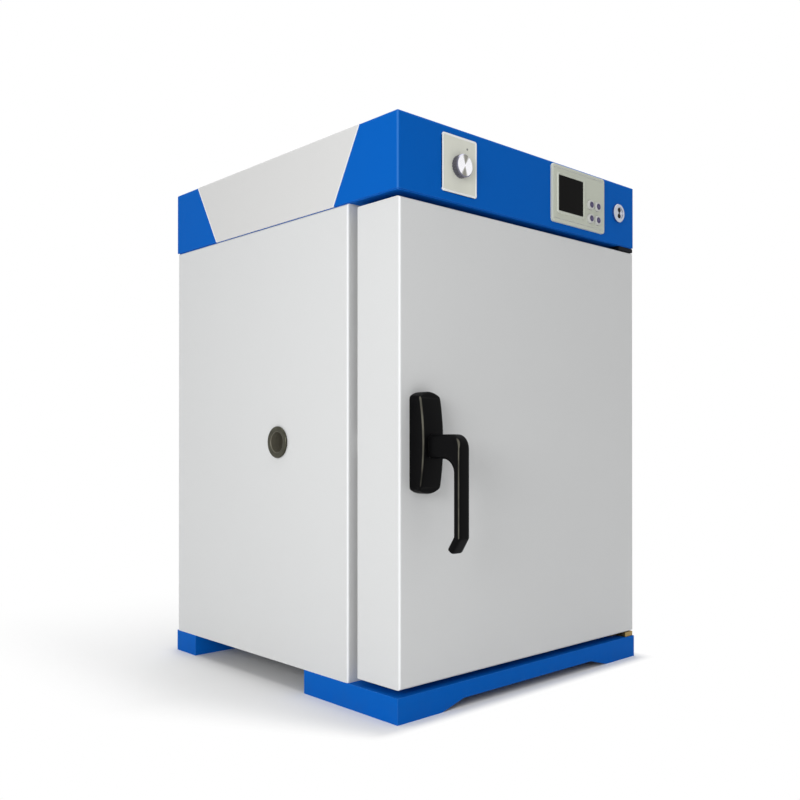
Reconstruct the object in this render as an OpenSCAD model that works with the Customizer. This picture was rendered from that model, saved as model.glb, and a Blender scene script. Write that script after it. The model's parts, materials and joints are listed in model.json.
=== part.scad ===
// Thermostatic oven with forced air: insulated casing on two plinths, control hood and side-hinged door.
// X runs to the right, Y to the back and Z up. The origin is on the floor, in the middle of the outline.

/* [Cabinet] */
// Width of the casing and the hood
case_w = 444; // [430:1:480]
// Depth from the front of the hood to the back panel
case_d = 462; // [450:1:500]
// Height of the insulated casing between plinth and hood
case_h = 535; // [520:1:580]
// Height of the control hood
hood_h = 83; // [80:1:100]
// Height of the plinths
plinth_h = 28; // [24:1:36]
// Setback of the casing behind the front of the hood
casing_setback = 82; // [78:1:90]
// Thickness of the painted sheet steel
sheet = 1.5; // [1:0.1:1.8]
// Outside radius of the folds in the sheet
fold_r = 3; // [2.5:0.1:4]
// Width of the flanges folded in from the side panels
case_flange = 20; // [16:1:22]
// Height of the shadow gap between casing and hood
hood_seam = 1; // [0.6:0.1:2]
// Clearance between pieces that almost touch
seat_gap = 0.3; // [0.2:0.05:0.4]
// Radial clearance of a shaft or pin in its bore
running_fit = 0.05; // [0.02:0.01:0.1]

/* [Plinths] */
// Depth of the front plinth
front_plinth_d = 162.5; // [140:0.5:180]
// Depth of the rear plinth
rear_plinth_d = 50; // [40:1:70]
// Width of each foot beside the arch
foot_w = 66; // [50:1:80]
// Height of the arch under the plinth
arch_h = 9.5; // [6:0.5:12]
// Length of the arch's sloping ends
arch_run = 35; // [20:1:45]

/* [Chamber] */
// Thickness of the insulated side walls
side_wall_t = 72; // [66:1:78]
// Thickness of the insulated floor and roof
floor_wall_t = 80; // [74:1:86]
// Thickness of the insulated rear wall
rear_wall_t = 53.5; // [50:0.5:58]
// Thickness of the stainless sheet
liner_t = 1.2; // [0.8:0.1:1.5]
// Height of the lowest shelf ledge above the chamber's floor
ledge_foot = 32; // [28:1:40]
// Distance of the highest shelf ledge below the chamber's roof
ledge_head = 95; // [80:1:100]
// Number of shelf ledges on each side
ledge_n = 5; // [5:1:6]
// Width of a ledge under the shelf
ledge_w = 10; // [9:0.5:12]
// Diameter of the shelf's frame rod
shelf_rod = 6; // [5:0.5:7]
// Diameter of the shelf's cross wires
shelf_wire = 3; // [2:0.5:4]
// Number of wires along the shelf
shelf_wire_n = 15; // [11:1:19]
// Travel of a shelf towards the closed door
shelf_travel = 20; // [10:1:24]

/* [Air circulation] */
// Space between the fan baffle and the chamber's rear wall
plenum_d = 40; // [36:1:46]
// Diameter of the fan wheel
fan_d = 130; // [110:1:140]
// Width of the fan blades
fan_blade_h = 24; // [18:1:26]
// Number of fan blades
fan_blade_n = 14; // [10:1:18]
// Diameter of the fan shaft
shaft_d = 8; // [6:0.5:10]
// Diameter of the heating ring at the middle of its tube
heater_d = 172; // [165:1:180]
// Diameter of the heater's tube
heater_tube = 6.5; // [6:0.5:8]
// Diameter of the fan motor
motor_d = 70; // [60:1:74]
// Length of the fan motor
motor_l = 38; // [34:1:40]
// Side of the motor's square flange
motor_flange = 96; // [90:1:104]
// Side of the square cover over the motor
cover_w = 140; // [130:1:160]
// Depth of the cover over the motor
cover_d = 27.5; // [26:0.5:34]

/* [Port and vent] */
// Bore of the cable port in the left side
port_bore = 25; // [20:0.5:30]
// Wall of the port tube and of the vent pipe
pipe_wall = 2; // [1.5:0.1:2.5]
// Diameter of the port's outer flange
port_flange_d = 39; // [37:0.5:46]
// Thickness of the port's outer flange
port_flange_t = 3; // [2:0.5:4]
// Distance of the port behind the front of the hood
port_setback = 215; // [200:1:230]
// Bore of the exhaust vent
vent_bore = 26; // [20:1:28]
// Distance of the vent from the chamber's right wall
vent_inset = 58; // [50:1:62]
// Distance of the vent below the chamber's roof
vent_drop = 43; // [38:1:52]
// How far the vent stands out of the back panel
vent_reach = 16; // [14:1:22]

/* [Door] */
// Gap above and below the door
door_gap = 7.5; // [7:0.1:9]
// Setback of the door's left edge behind the side of the casing
door_side = 3; // [2:0.5:6]
// Setback of the door's hinged edge behind the side of the casing
hinge_side = 1; // [1:0.5:4]
// Setback of the door's face behind the front of the hood
door_setback = 0.5; // [0:0.1:2]
// Gap between door and casing that the gasket fills
seal_gap = 11.5; // [10:0.1:13]
// Depth by which the door's plug enters the chamber
plug_d = 8; // [5:0.5:10]
// Gap between the plug and the chamber's walls
plug_gap = 6; // [5:0.5:9]
// Radius of the plug's corners
plug_r = 12; // [8:1:20]
// Width of the flange round the door's back
door_flange = 15; // [12:1:18]
// Width of the gasket
gasket_w = 14; // [10:0.5:16]
// Distance of the hinge axis inside the right side of the casing
pivot_inset = 20; // [19:0.5:22]
// Distance of the hinge axis behind the front of the hood
pivot_setback = 30; // [28:0.5:32]
// Diameter of the hinge pins
pin_d = 8; // [6:0.5:9]
// Thickness of the hinge plates
hinge_t = 3; // [2.5:0.1:3.5]
// Length of the hinge bushes inside the door
bush_l = 24; // [18:1:30]

/* [Handle] */
// Distance of the handle's middle inside the left side of the casing
handle_inset = 33.2; // [31:0.2:36]
// Height of the handle's base plate
plate_h = 108.5; // [100:0.5:120]
// Width of the handle's base plate
plate_w = 31.5; // [28:0.5:34]
// Depth of the base plate in its middle
plate_d = 21; // [19:0.5:24]
// How much deeper the base plate is in the middle than at its ends
plate_bulge = 6; // [3:0.5:8]
// Rise of the base plate's rounded ends
plate_rise = 5.5; // [4:0.5:8]
// Distance of the lever's front in front of the door
lever_reach = 65; // [58:0.5:75]
// Width of the lever
lever_w = 17; // [14:0.5:20]
// Thickness of the lever's grip
lever_t = 8.5; // [7:0.5:10]
// Height of the lever's neck
neck_h = 25.6; // [22:0.2:28]
// How far the neck's middle lies below the spindle
neck_drop = 3.8; // [2:0.2:5]
// Outside radius of the lever's corner
lever_corner_r = 12; // [8:0.5:14]
// Inside radius between neck and grip
lever_fillet_r = 18; // [12:0.5:20]
// Distance from the spindle down to the bend near the lever's tip
knee_drop = 94.5; // [85:0.5:105]
// Length of the bent tip
tip_l = 21; // [16:0.5:26]
// Angle by which the tip bends towards the door
tip_angle = 27; // [15:1:35]
// Diameter of the handle's spindle
spindle_d = 8; // [7:0.5:10]

/* [Controls] */
// Width of the controller's frame
bezel_w = 111.6; // [106:0.2:116]
// Height of the controller's frame
bezel_h = 72.4; // [70:0.2:74]
// How far the controller's frame stands out
bezel_d = 5; // [4:0.2:7]
// Distance of the controller's middle inside the right side of the hood
bezel_inset = 129.7; // [126:0.1:134]
// Height of the controller's middle above the middle of the hood
bezel_rise = 2.2; // [0:0.1:3]
// Width of the display
display_w = 50.8; // [46:0.2:54]
// Height of the display
display_h = 44.7; // [40:0.1:48]
// Distance of the display inside the left edge of the controller's frame
display_inset = 11.7; // [10:0.1:14]
// Height of the display's middle above the controller's middle
display_rise = 0.9; // [0:0.1:2]
// Diameter of the push buttons
button_d = 12; // [10:0.5:13]
// Distance of the first column of buttons to the right of the controller's middle
button_shift = 22.4; // [21:0.1:24]
// Distance of the upper row of buttons below the controller's middle
button_drop = 3.5; // [0:0.1:6]
// Distance between the columns of buttons
button_dx = 15.2; // [14.5:0.1:16]
// Distance between the rows of buttons
button_dz = 17.7; // [15:0.1:20]
// How far the buttons stand out of the frame
button_out = 1.5; // [1.2:0.1:2]
// Travel of the buttons
button_travel = 0.8; // [0.5:0.1:1]
// Width of the plate behind the thermostat knob
dial_w = 55.7; // [50:0.1:60]
// Height of the plate behind the thermostat knob
dial_h = 64.5; // [60:0.1:70]
// Thickness of the plate behind the thermostat knob
dial_t = 1.2; // [0.8:0.1:2]
// Distance of the thermostat's middle inside the left side of the hood
dial_inset = 93.4; // [88:0.1:98]
// Distance of the thermostat's knob below the middle of the hood
knob_drop = 1.5; // [0:0.1:4]
// Diameter of the thermostat knob
knob_d = 25.5; // [22:0.5:30]
// Height of the thermostat knob
knob_h = 8; // [6:0.5:12]
// Diameter of the key switch's ring
key_ring_d = 24.5; // [22:0.5:27]
// Diameter of the key switch's barrel
key_barrel_d = 16; // [14:0.5:17]
// Distance of the key switch inside the right side of the hood
key_inset = 39.8; // [36:0.1:44]
// Thickness of the pale side inlays
inlay_t = 0.8; // [0.5:0.1:1.2]
// Distance of an inlay's top behind the front of the hood
inlay_front = 62.4; // [50:0.2:80]
// Distance of an inlay's top before the back of the hood
inlay_rear = 57.2; // [50:0.2:70]
// How far an inlay's front end slopes back towards its foot
inlay_front_slope = 44.6; // [30:0.2:55]
// How far an inlay's rear end slopes forward towards its foot
inlay_rear_slope = 46.7; // [30:0.1:55]

/* [Hidden] */
$fn = 48;

// Length that carries a cut past the surface it starts from
past = 10;

// Inside of the chamber
chamber_w = case_w - 2 * side_wall_t;
chamber_h = case_h - 2 * floor_wall_t;
z_chamber = plinth_h + floor_wall_t;
x_chamber = [-chamber_w / 2, chamber_w / 2];
z_chamber_span = [z_chamber, z_chamber + chamber_h];
z_axis = mid(z_chamber_span);

// Places of the main planes
front_reach = lever_reach - door_setback;
y_hood = -(case_d + cover_d - front_reach) / 2;
y_case = y_hood + casing_setback;
y_back = y_hood + case_d;
y_door = y_hood + door_setback;
y_door_back = y_case - seal_gap;
y_plug = y_case + plug_d;
y_rear = y_back - rear_wall_t;
y_baffle = y_rear - plenum_d;
y_casing_inner = [y_case + sheet, y_back - 2 * sheet];
y_port = y_hood + port_setback;
y_cut = [y_hood - past, y_hood + past];
x_side = case_w / 2;
x_case = [-x_side, x_side];
z_case = plinth_h + case_h;
z_top = z_case + hood_h;
z_case_top = z_case - hood_seam;

// Shelf ledges and their posts
post_w = 12;
post_t = 2;
post_inset = 30;
post_margin = 12;
ledge_t = 1.5;
ledge_setback = 18;
ledge_pitch = (chamber_h - ledge_foot - ledge_head) / (ledge_n - 1);
x_ledge = x_chamber[0] + post_t + ledge_t + ledge_w;
y_ledge = [y_case + ledge_setback, y_baffle - ledge_setback];

// Shelves: the ledges they lie on, and their depth with the travel and a last gap before the plug
shelf_low = 2;
shelf_high = 4;
shelf_r = shelf_rod / 2;
shelf_play = 1.5;
shelf_d = y_ledge[1] - y_plug - shelf_travel - shelf_r - shelf_play;

// Fan wheel, its shaft and its motor
fan_gap = 8;
y_fan = [y_baffle + liner_t + fan_gap / 2, y_baffle + liner_t + fan_gap / 2 + fan_blade_h];
hub_r = 11;
hub_l = 16;
shaft_play = 3;
shaft_hole_r = shaft_d / 2 + shaft_play;
shaft_bore_l = 20;
motor_recess = 16;
motor_hole_r = motor_d / 2 + seat_gap;
y_motor = [y_back - motor_recess, y_back - motor_recess + motor_l];

// Heating tube, whose leads pass the rear wall below the fan
heater_r = heater_d / 2;
tube_r = heater_tube / 2;
lead_dx = 14;
lead_z = z_axis - sqrt(heater_r * heater_r - lead_dx * lead_dx);
lead_hole_r = tube_r + seat_gap;

// Sheet-metal pieces of the air circulation
spacer_r = 4;
spacer_inset = 30;
cover_t = 1.2;

// Port and vent
port_r = port_bore / 2;
port_outer_r = port_r + pipe_wall;
port_hole_r = port_outer_r + seat_gap;
vent_r = vent_bore / 2 + pipe_wall;
vent_x = chamber_w / 2 - vent_inset;
vent_z = z_chamber_span[1] - vent_drop;
y_vent = y_back + vent_reach;
end_plate_t = 1.5;
window_r = [4, 11];
vent_pin_r = 2;

// Probes beside the vent, as far left of the middle as the vent is right of it
probe_r = 2.5;
limit_r = 2;
probe_pitch = 24;
probe_x = [-vent_x, -vent_x + probe_pitch];
probe_hole_r = probe_r + seat_gap;
probe_reach = 30;
probe_tail = 20;
y_probe = [y_baffle - probe_reach, y_rear + probe_tail];

// Places of the door, its gasket and its hinges
x_door = [-x_side + door_side, x_side - hinge_side];
z_door = [plinth_h + door_gap, z_case - door_gap];
inner_rim = 7;
inner_x = grow(x_door, -inner_rim);
inner_z = grow(z_door, -inner_rim);
inner_r = 4;
plug_x = grow(x_chamber, -plug_gap);
plug_z = grow(z_chamber_span, -plug_gap);
gasket_gap = 12;
x_pivot = x_side - pivot_inset;
y_pivot = y_hood + pivot_setback;
washer_t = 1;
bush_wall = 3;
bush_r = pin_d / 2 + bush_wall;
bush_flange_r = bush_r + bush_wall;
hinge_w = 24;
leg_l = 34;
wing_inset = 1.5;
wing_h = 5.5;

// Handle, spindle and latch
x_handle = -x_side + handle_inset;
z_handle = mid(z_door);
y_root = y_door - plate_d - seat_gap;
socket_l = 15;
sleeve_wall = 3;
sleeve_r = spindle_d / 2 + sleeve_wall;
lever_sides = 32;
lever_square = 4.5;
tip_round = 1.5;
cam_gap = 4.5;
cam_t = 4;
cam_reach = 14;
cam_w = 10;
y_cam = [y_door_back + liner_t + cam_gap, y_door_back + liner_t + cam_gap + cam_t];

// Controls of the hood
z_hood = z_case + hood_h / 2;
z_controls = z_hood + bezel_rise;
z_knob = z_hood - knob_drop;
bezel_x = x_side - bezel_inset;
dial_x = -x_side + dial_inset;
key_x = x_side - key_inset;
x_display = [bezel_x - bezel_w / 2 + display_inset, bezel_x - bezel_w / 2 + display_inset + display_w];
z_display = about(z_controls + display_rise, display_h);
display_r = 1;
button_x = [bezel_x + button_shift, bezel_x + button_shift + button_dx];
button_z = [z_controls - button_drop, z_controls - button_drop - button_dz];
button_places = [for (z = button_z, x = button_x) [x, z]];
housing_wall = 10;
thermostat_l = 25;
thermostat_w = 36;
thermostat_r = 3;
knob_shaft_r = 3;
knob_shaft_l = 20;
knob_play = 1;
knob_hole_r = knob_shaft_r + knob_play;
key_body_l = 28;
key_ring_t = 4;
key_floor_t = 4;
key_wall = 2;
key_thread_r = key_barrel_d / 2 + key_wall;

// Tray, mains inlet and the pieces standing on the tray
tray_z = [z_case_top, z_case_top + sheet];
y_tray = [y_hood + sheet, y_back - sheet];
inlet_inset = 72;
inlet_x = -x_side + inlet_inset;
inlet_w = 27;
inlet_h = 20;
relay_w = 60;
relay_l = 80;
relay_x = -10;
relay_setback = 110;
relay_y = y_back - relay_setback;
block_shift = 30;
block_setback = 120;
block_x = inlet_x + block_shift;
block_y = y_back - block_setback;
block_w = 20;

function grow(s, d) = [s[0] - d, s[1] + d];
function mid(s) = (s[0] + s[1]) / 2;
function about(c, w) = [c - w / 2, c + w / 2];

// Flat outline with round corners, between two pairs of limits
module rounded(a, b, r) {
    least = 0.001;
    if (r > 0) {
        w = a[1] - a[0];
        h = b[1] - b[0];
        if (w - 2 * r > least) translate([a[0] + r, b[0]]) square([w - 2 * r, h]);
        if (h - 2 * r > least) translate([a[0], b[0] + r]) square([w, h - 2 * r]);
        for (p = [a[0] + r, a[1] - r], q = [b[0] + r, b[1] - r]) translate([p, q]) circle(r);
    } else {
        translate([a[0], b[0]]) square([a[1] - a[0], b[1] - b[0]]);
    }
}

// Blocks between limits, with the corners rounded as seen from above, the front or the side
module slab_xy(x, y, z, r = 0) {
    translate([0, 0, z[0]]) linear_extrude(z[1] - z[0]) rounded(x, y, r);
}

module slab_xz(x, y, z, r = 0) {
    translate([0, y[1], 0]) rotate([90, 0, 0]) linear_extrude(y[1] - y[0]) rounded(x, z, r);
}

module slab_yz(x, y, z, r = 0) {
    translate([x[0], 0, 0]) rotate([90, 0, 90]) linear_extrude(x[1] - x[0]) rounded(y, z, r);
}

// Round bars along each direction
module bar_x(x, y, z, r) {
    translate([x[0], y, z]) rotate([0, 90, 0]) cylinder(h = x[1] - x[0], r = r);
}

module bar_y(x, y, z, r) {
    translate([x, y[1], z]) rotate([90, 0, 0]) cylinder(h = y[1] - y[0], r = r);
}

module bar_z(x, y, z, r) {
    translate([x, y, z[0]]) cylinder(h = z[1] - z[0], r = r);
}

// Plinth of folded sheet, open below, with an arch through its front and back
module plinth(y) {
    inner_z = plinth_h - sheet;
    difference() {
        slab_xy(x_case, y, [0, plinth_h]);
        slab_xy(grow(x_case, -sheet), grow(y, -sheet), [-past, inner_z]);
        translate([0, y[1] + past, 0]) rotate([90, 0, 0]) linear_extrude(y[1] - y[0] + 2 * past)
            polygon([[-x_side + foot_w, -past], [-x_side + foot_w, 0], [-x_side + foot_w + arch_run, arch_h],
                [x_side - foot_w - arch_run, arch_h], [x_side - foot_w, 0], [x_side - foot_w, -past]]);
    }
}

module front_plinth() {
    color("royalblue") plinth([y_hood, y_hood + front_plinth_d]);
}

module rear_plinth() {
    color("royalblue") plinth([y_back - rear_plinth_d, y_back]);
}

// Space inside the casing, with the edges rounded as its sheet is folded
module casing_form(inset) {
    x = grow(x_case, -inset);
    z = [plinth_h - past, z_case_top - inset];
    y = [y_case + inset, y_back - sheet - inset];
    intersection() {
        slab_xy(x, y, z, fold_r - inset);
        slab_xz(x, y, z, fold_r - inset);
    }
}

// Left side of the casing with the flanges that are folded in from it
module side_panel() {
    intersection() {
        difference() {
            casing_form(0);
            casing_form(sheet);
        }
        slab_xy([-x_side - past, -x_side + case_flange], [y_case - past, y_back + past],
            [plinth_h, z_case_top + past]);
    }
}

module side_panel_left() {
    color("whitesmoke") difference() {
        side_panel();
        bar_x([-x_side - past, -x_side + past], y_port, z_axis, port_hole_r);
    }
}

module side_panel_right() {
    color("whitesmoke") mirror([1, 0, 0]) side_panel();
}

module bottom_panel() {
    color("silver") slab_xy(grow(x_case, -sheet), y_casing_inner, [plinth_h, plinth_h + sheet], fold_r);
}

module back_panel() {
    color("whitesmoke") difference() {
        slab_xz(grow(x_case, -fold_r), [y_back - sheet, y_back], [plinth_h, z_case_top], fold_r);
        bar_y(0, [y_back - past, y_back + past], z_axis, motor_hole_r);
        bar_y(vent_x, [y_back - past, y_back + past], vent_z, vent_r + seat_gap);
    }
}

// Stainless ring round the chamber's mouth, between the flanges of the side panels
module front_frame() {
    color("lightgray") difference() {
        slab_xz(grow(x_case, -case_flange), [y_case, y_case + sheet], [plinth_h, z_case_top]);
        slab_xz(x_chamber, [y_case - past, y_case + past], z_chamber_span);
    }
}

// Holes through the chamber's rear wall and the insulation behind it
module rear_holes(y) {
    bar_y(0, y, z_axis, shaft_hole_r);
    bar_y(vent_x, y, vent_z, vent_r + seat_gap);
    for (x = [-lead_dx, lead_dx]) bar_y(x, y, lead_z, lead_hole_r);
    for (x = probe_x) bar_y(x, y, vent_z, probe_hole_r);
}

// Floor of the chamber, with its top at the given height
module chamber_deck(z) {
    color("gainsboro") slab_xy(grow(x_chamber, liner_t), [y_case + sheet, y_rear + liner_t], z);
}

module chamber_floor() {
    chamber_deck([z_chamber - liner_t, z_chamber]);
}

module chamber_roof() {
    chamber_deck([z_chamber_span[1], z_chamber_span[1] + liner_t]);
}

// Left wall of the chamber, between its floor and its roof
module chamber_wall() {
    slab_yz([x_chamber[0] - liner_t, x_chamber[0]], [y_case + sheet, y_rear + liner_t], z_chamber_span);
}

module chamber_wall_left() {
    color("gainsboro") difference() {
        chamber_wall();
        bar_x(grow([x_chamber[0] - liner_t, x_chamber[0]], past), y_port, z_axis, port_hole_r);
    }
}

module chamber_wall_right() {
    color("gainsboro") mirror([1, 0, 0]) chamber_wall();
}

module chamber_rear_wall() {
    color("gainsboro") difference() {
        slab_xz(x_chamber, [y_rear, y_rear + liner_t], z_chamber_span);
        rear_holes([y_rear - past, y_rear + past]);
    }
}

module insulation_jacket() {
    z = [plinth_h + sheet, z_case_top - sheet];
    color("khaki") difference() {
        intersection() {
            slab_xy(grow(x_case, -sheet), y_casing_inner, z, fold_r);
            slab_xz(grow(x_case, -sheet), y_casing_inner, z, fold_r);
        }
        slab_xz(grow(x_chamber, liner_t), [y_case, y_rear + liner_t], grow(z_chamber_span, liner_t));
        bar_x([-x_side, 0], y_port, z_axis, port_hole_r);
        rear_holes([y_rear, y_back]);
        bar_y(0, [y_back - motor_recess - past, y_back], z_axis, motor_hole_r);
    }
}

// Polished tube through the left wall, with a rounded flange outside
module port_tube() {
    length = x_side - chamber_w / 2;
    color("silver") translate([-x_side, y_port, z_axis]) rotate([0, 90, 0]) rotate_extrude($fn = 96) union() {
        translate([port_r, -port_flange_t / 2]) square([pipe_wall, length + port_flange_t / 2]);
        translate([port_r + port_flange_t / 2, -port_flange_t])
            square([port_flange_d / 2 - port_r - port_flange_t, port_flange_t]);
        for (r = [port_r + port_flange_t / 2, (port_flange_d - port_flange_t) / 2])
            translate([r, -port_flange_t / 2]) circle(port_flange_t / 2);
    }
}

// Height of a ledge's top, counted from the lowest as 1
function ledge_z(k) = z_chamber + ledge_foot + (k - 1) * ledge_pitch;

// Two posts with folded ledges that carry the shelves
module shelf_rail() {
    post_z = grow(z_chamber_span, -post_margin);
    post_x = [x_chamber[0], x_chamber[0] + post_t];
    for (y = grow(y_ledge, -post_inset)) slab_xy(post_x, about(y, post_w), post_z);
    for (k = [1 : ledge_n]) {
        slab_xy([post_x[1], post_x[1] + ledge_t], y_ledge, [ledge_z(k) - ledge_w, ledge_z(k)]);
        slab_xy([post_x[1], x_ledge], y_ledge, [ledge_z(k) - ledge_t, ledge_z(k)]);
    }
}

module shelf_rails() {
    color("lightgray") {
        shelf_rail();
        mirror([1, 0, 0]) shelf_rail();
    }
}

// Quarter of a bent rod round a corner, for angles from 0 to 90 degrees
module rod_bend(bend_r, rod_r) {
    intersection() {
        rotate_extrude() translate([bend_r, 0]) circle(rod_r);
        translate([0, 0, -past]) cube([bend_r + past, bend_r + past, 2 * past]);
    }
}

// Wire shelf: a rod bent round the edge, two cross rods and wires from front to back
module shelf(level) {
    bend = 12;
    x = grow([x_ledge, -x_ledge], ledge_w / 2 - shelf_r / 2);
    y = [y_ledge[1] - shelf_d, y_ledge[1]];
    z = ledge_z(level) + seat_gap + shelf_r;
    wire_r = shelf_wire / 2;
    weld = 0.5;
    cross_z = z - shelf_r + wire_r + weld;
    step = (x[1] - x[0] - 2 * bend) / (shelf_wire_n - 1);
    for (p = x) bar_y(p, grow(y, -bend), z, shelf_r);
    for (q = y) bar_x(grow(x, -bend), q, z, shelf_r);
    for (i = [0, 1], j = [0, 1])
        translate([i == 0 ? x[0] + bend : x[1] - bend, j == 0 ? y[0] + bend : y[1] - bend, z])
            mirror([1 - i, 0, 0]) mirror([0, 1 - j, 0]) rod_bend(bend, shelf_r);
    for (i = [0 : shelf_wire_n - 1]) bar_y(x[0] + bend + i * step, y, cross_z + shelf_wire - weld, wire_r);
    for (t = [1 / 3, 2 / 3]) bar_x(x, y[0] + t * (y[1] - y[0]), cross_z, wire_r);
}

module shelf_upper() {
    color("silver") shelf(shelf_high);
}

module shelf_lower() {
    color("silver") shelf(shelf_low);
}

// Sheet in front of the fan, with a rosette of inlet holes and outlet slots along the sides
module fan_baffle() {
    rings = 4;
    hole_r = 4;
    ring_step = 12;
    slot_n = 9;
    slot_w = 6;
    slot_l = 24;
    edge = 16;
    slot_step = (chamber_h - 2 * edge - slot_l) / (slot_n - 1);
    color("gainsboro") difference() {
        slab_xz(grow(x_chamber, -seat_gap), [y_baffle, y_baffle + liner_t], grow(z_chamber_span, -seat_gap));
        bar_y(0, [y_baffle - past, y_baffle + past], z_axis, hole_r);
        for (k = [1 : rings], i = [0 : 6 * k - 1]) rotate_about_axis(i * 60 / k)
            bar_y(k * ring_step, [y_baffle - past, y_baffle + past], z_axis, hole_r);
        for (s = [-1, 1], i = [0 : slot_n - 1])
            slab_xz(about(s * (chamber_w / 2 - edge), slot_w), [y_baffle - past, y_baffle + past],
                about(z_chamber_span[0] + edge + slot_l / 2 + i * slot_step, slot_l), slot_w / 2);
        for (x = probe_x) bar_y(x, [y_baffle - past, y_baffle + past], vent_z, probe_hole_r);
    }
}

// Turns what follows about the fan's axis
module rotate_about_axis(a) {
    translate([0, 0, z_axis]) rotate([0, a, 0]) translate([0, 0, -z_axis]) children();
}

module baffle_spacers() {
    screw_r = 5;
    screw_t = 2;
    color("silver") for (x = grow(x_chamber, -spacer_inset), z = grow(z_chamber_span, -spacer_inset)) {
        bar_y(x, [y_baffle + liner_t, y_rear], z, spacer_r);
        bar_y(x, [y_baffle - screw_t, y_baffle], z, screw_r);
    }
}

// Fan wheel: back disc, hub and blades curved away from the direction of rotation
module fan_impeller() {
    disc_t = 1.5;
    blade_t = 1.2;
    blade_rim = 1;
    blade_r = fan_d * 0.3;
    inner_r = fan_d * 0.27;
    color("gainsboro") translate([0, y_fan[1], z_axis]) rotate([90, 0, 0]) difference() {
        union() {
            cylinder(h = disc_t, r = fan_d / 2, $fn = 96);
            cylinder(h = hub_l, r = hub_r);
            for (i = [0 : fan_blade_n - 1]) rotate(i * 360 / fan_blade_n) intersection() {
                linear_extrude(fan_blade_h - blade_rim) difference() {
                    circle(fan_d / 2 - blade_rim);
                    circle(inner_r);
                }
                translate([inner_r, blade_r, 0]) linear_extrude(fan_blade_h) intersection() {
                    difference() {
                        circle(blade_r);
                        circle(blade_r - blade_t);
                    }
                    translate([0, -blade_r - past]) square([blade_r + past, blade_r + past]);
                }
            }
        }
        translate([0, 0, -past]) cylinder(h = hub_l + 2 * past, r = shaft_d / 2 + running_fit);
    }
}

module fan_shaft() {
    color("silver") bar_y(0, [y_fan[1] - hub_l, y_motor[0] + shaft_bore_l - seat_gap], z_axis, shaft_d / 2);
}

// Motor can with a square flange screwed on the back panel
module fan_motor() {
    flange_t = 2.5;
    flange_r = 6;
    color("dimgray") difference() {
        union() {
            bar_y(0, y_motor, z_axis, motor_d / 2);
            slab_xz(about(0, motor_flange), [y_back, y_back + flange_t], about(z_axis, motor_flange),
                flange_r);
        }
        bar_y(0, [y_motor[0] - past, y_motor[0] + shaft_bore_l], z_axis, shaft_d / 2 + running_fit);
    }
}

// Two turns of heating tube round the fan, with their ends through the rear wall
module heater_coil() {
    turn_step = 12;
    lead_l = 16;
    y_turn = [y_fan[0] + tube_r, y_fan[0] + tube_r + turn_step];
    gap_angle = 2 * asin((lead_dx - tube_r) / heater_r);
    weld = 0.25;
    color("dimgray") {
        for (y = y_turn) translate([0, y, z_axis]) rotate([-90, 90 - gap_angle / 2, 0]) mirror([0, 1, 0])
            rotate_extrude(angle = 360 - gap_angle, $fn = 96) translate([heater_r, 0]) circle(tube_r);
        for (x = [-lead_dx, lead_dx]) bar_y(x, [y_turn[0], y_rear + lead_l], lead_z, tube_r - weld);
    }
}

module temperature_probe() {
    color("silver") bar_y(probe_x[0], y_probe, vent_z, probe_r);
}

module limit_probe() {
    color("peru") bar_y(probe_x[1], y_probe, vent_z, limit_r);
}

// Two opposite quarter windows, cut through along Y
module vent_windows(y, turn) {
    translate([vent_x, y[1], vent_z]) rotate([90, turn, 0]) linear_extrude(y[1] - y[0]) difference() {
        circle(window_r[1]);
        circle(window_r[0]);
        for (s = [-1, 1]) scale([s, s]) translate([0, -vent_r]) square([vent_r, vent_r]);
    }
}

// Exhaust pipe through the rear wall, closed by a plate with two windows
module vent_pipe() {
    color("silver") difference() {
        bar_y(vent_x, [y_rear, y_vent], vent_z, vent_r);
        bar_y(vent_x, [y_rear - past, y_vent - end_plate_t], vent_z, vent_r - pipe_wall);
        vent_windows([y_vent - end_plate_t - past, y_vent + past], 0);
        bar_y(vent_x, [y_vent - past, y_vent + past], vent_z, vent_pin_r + running_fit);
    }
}

// Shutter that turns on the pipe's end, with a finger tab
module vent_damper() {
    y = [y_vent + seat_gap, y_vent + seat_gap + end_plate_t];
    tab_l = 12;
    tab_w = 8;
    pin_over = 2;
    color("silver") {
        difference() {
            union() {
                bar_y(vent_x, y, vent_z, vent_r);
                slab_xz([vent_x, vent_x + vent_r + tab_l], y, about(vent_z, tab_w), tab_w / 3);
            }
            vent_windows([y[0] - past, y[1] + past], 90);
        }
        bar_y(vent_x, [y_vent - end_plate_t - pin_over, y[0]], vent_z, vent_pin_r);
    }
}

// Louvred box over the motor
module motor_cover() {
    y = [y_back, y_back + cover_d];
    slot_w = 4;
    slot_pitch = 12;
    half_n = 4;
    slot_l = cover_w * 0.6;
    color("gainsboro") difference() {
        slab_xz(about(0, cover_w), y, about(z_axis, cover_w), fold_r);
        slab_xz(about(0, cover_w - 2 * cover_t), [y[0] - past, y[1] - cover_t],
            about(z_axis, cover_w - 2 * cover_t), fold_r - cover_t);
        for (i = [-half_n : half_n])
            slab_xz(about(i * slot_pitch, slot_w), [y[1] - past, y[1] + past], about(z_axis, slot_l),
                slot_w / 2);
        for (i = [-half_n : half_n])
            slab_yz([-cover_w, cover_w], about(mid(y), cover_d * 0.5), about(z_axis + i * slot_pitch, slot_w),
                slot_w / 2);
    }
}

// Form of the hood, with its front and top edges rounded as the sheet is folded
module hood_form(inset) {
    r = fold_r - inset;
    x = grow(x_case, -inset);
    y = [y_hood + inset, y_back + past];
    z = [z_case - past, z_top - inset];
    intersection() {
        slab_xy(x, y, z, r);
        slab_xz(x, y, z, r);
        slab_yz(x, y, z, r);
    }
}

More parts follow.
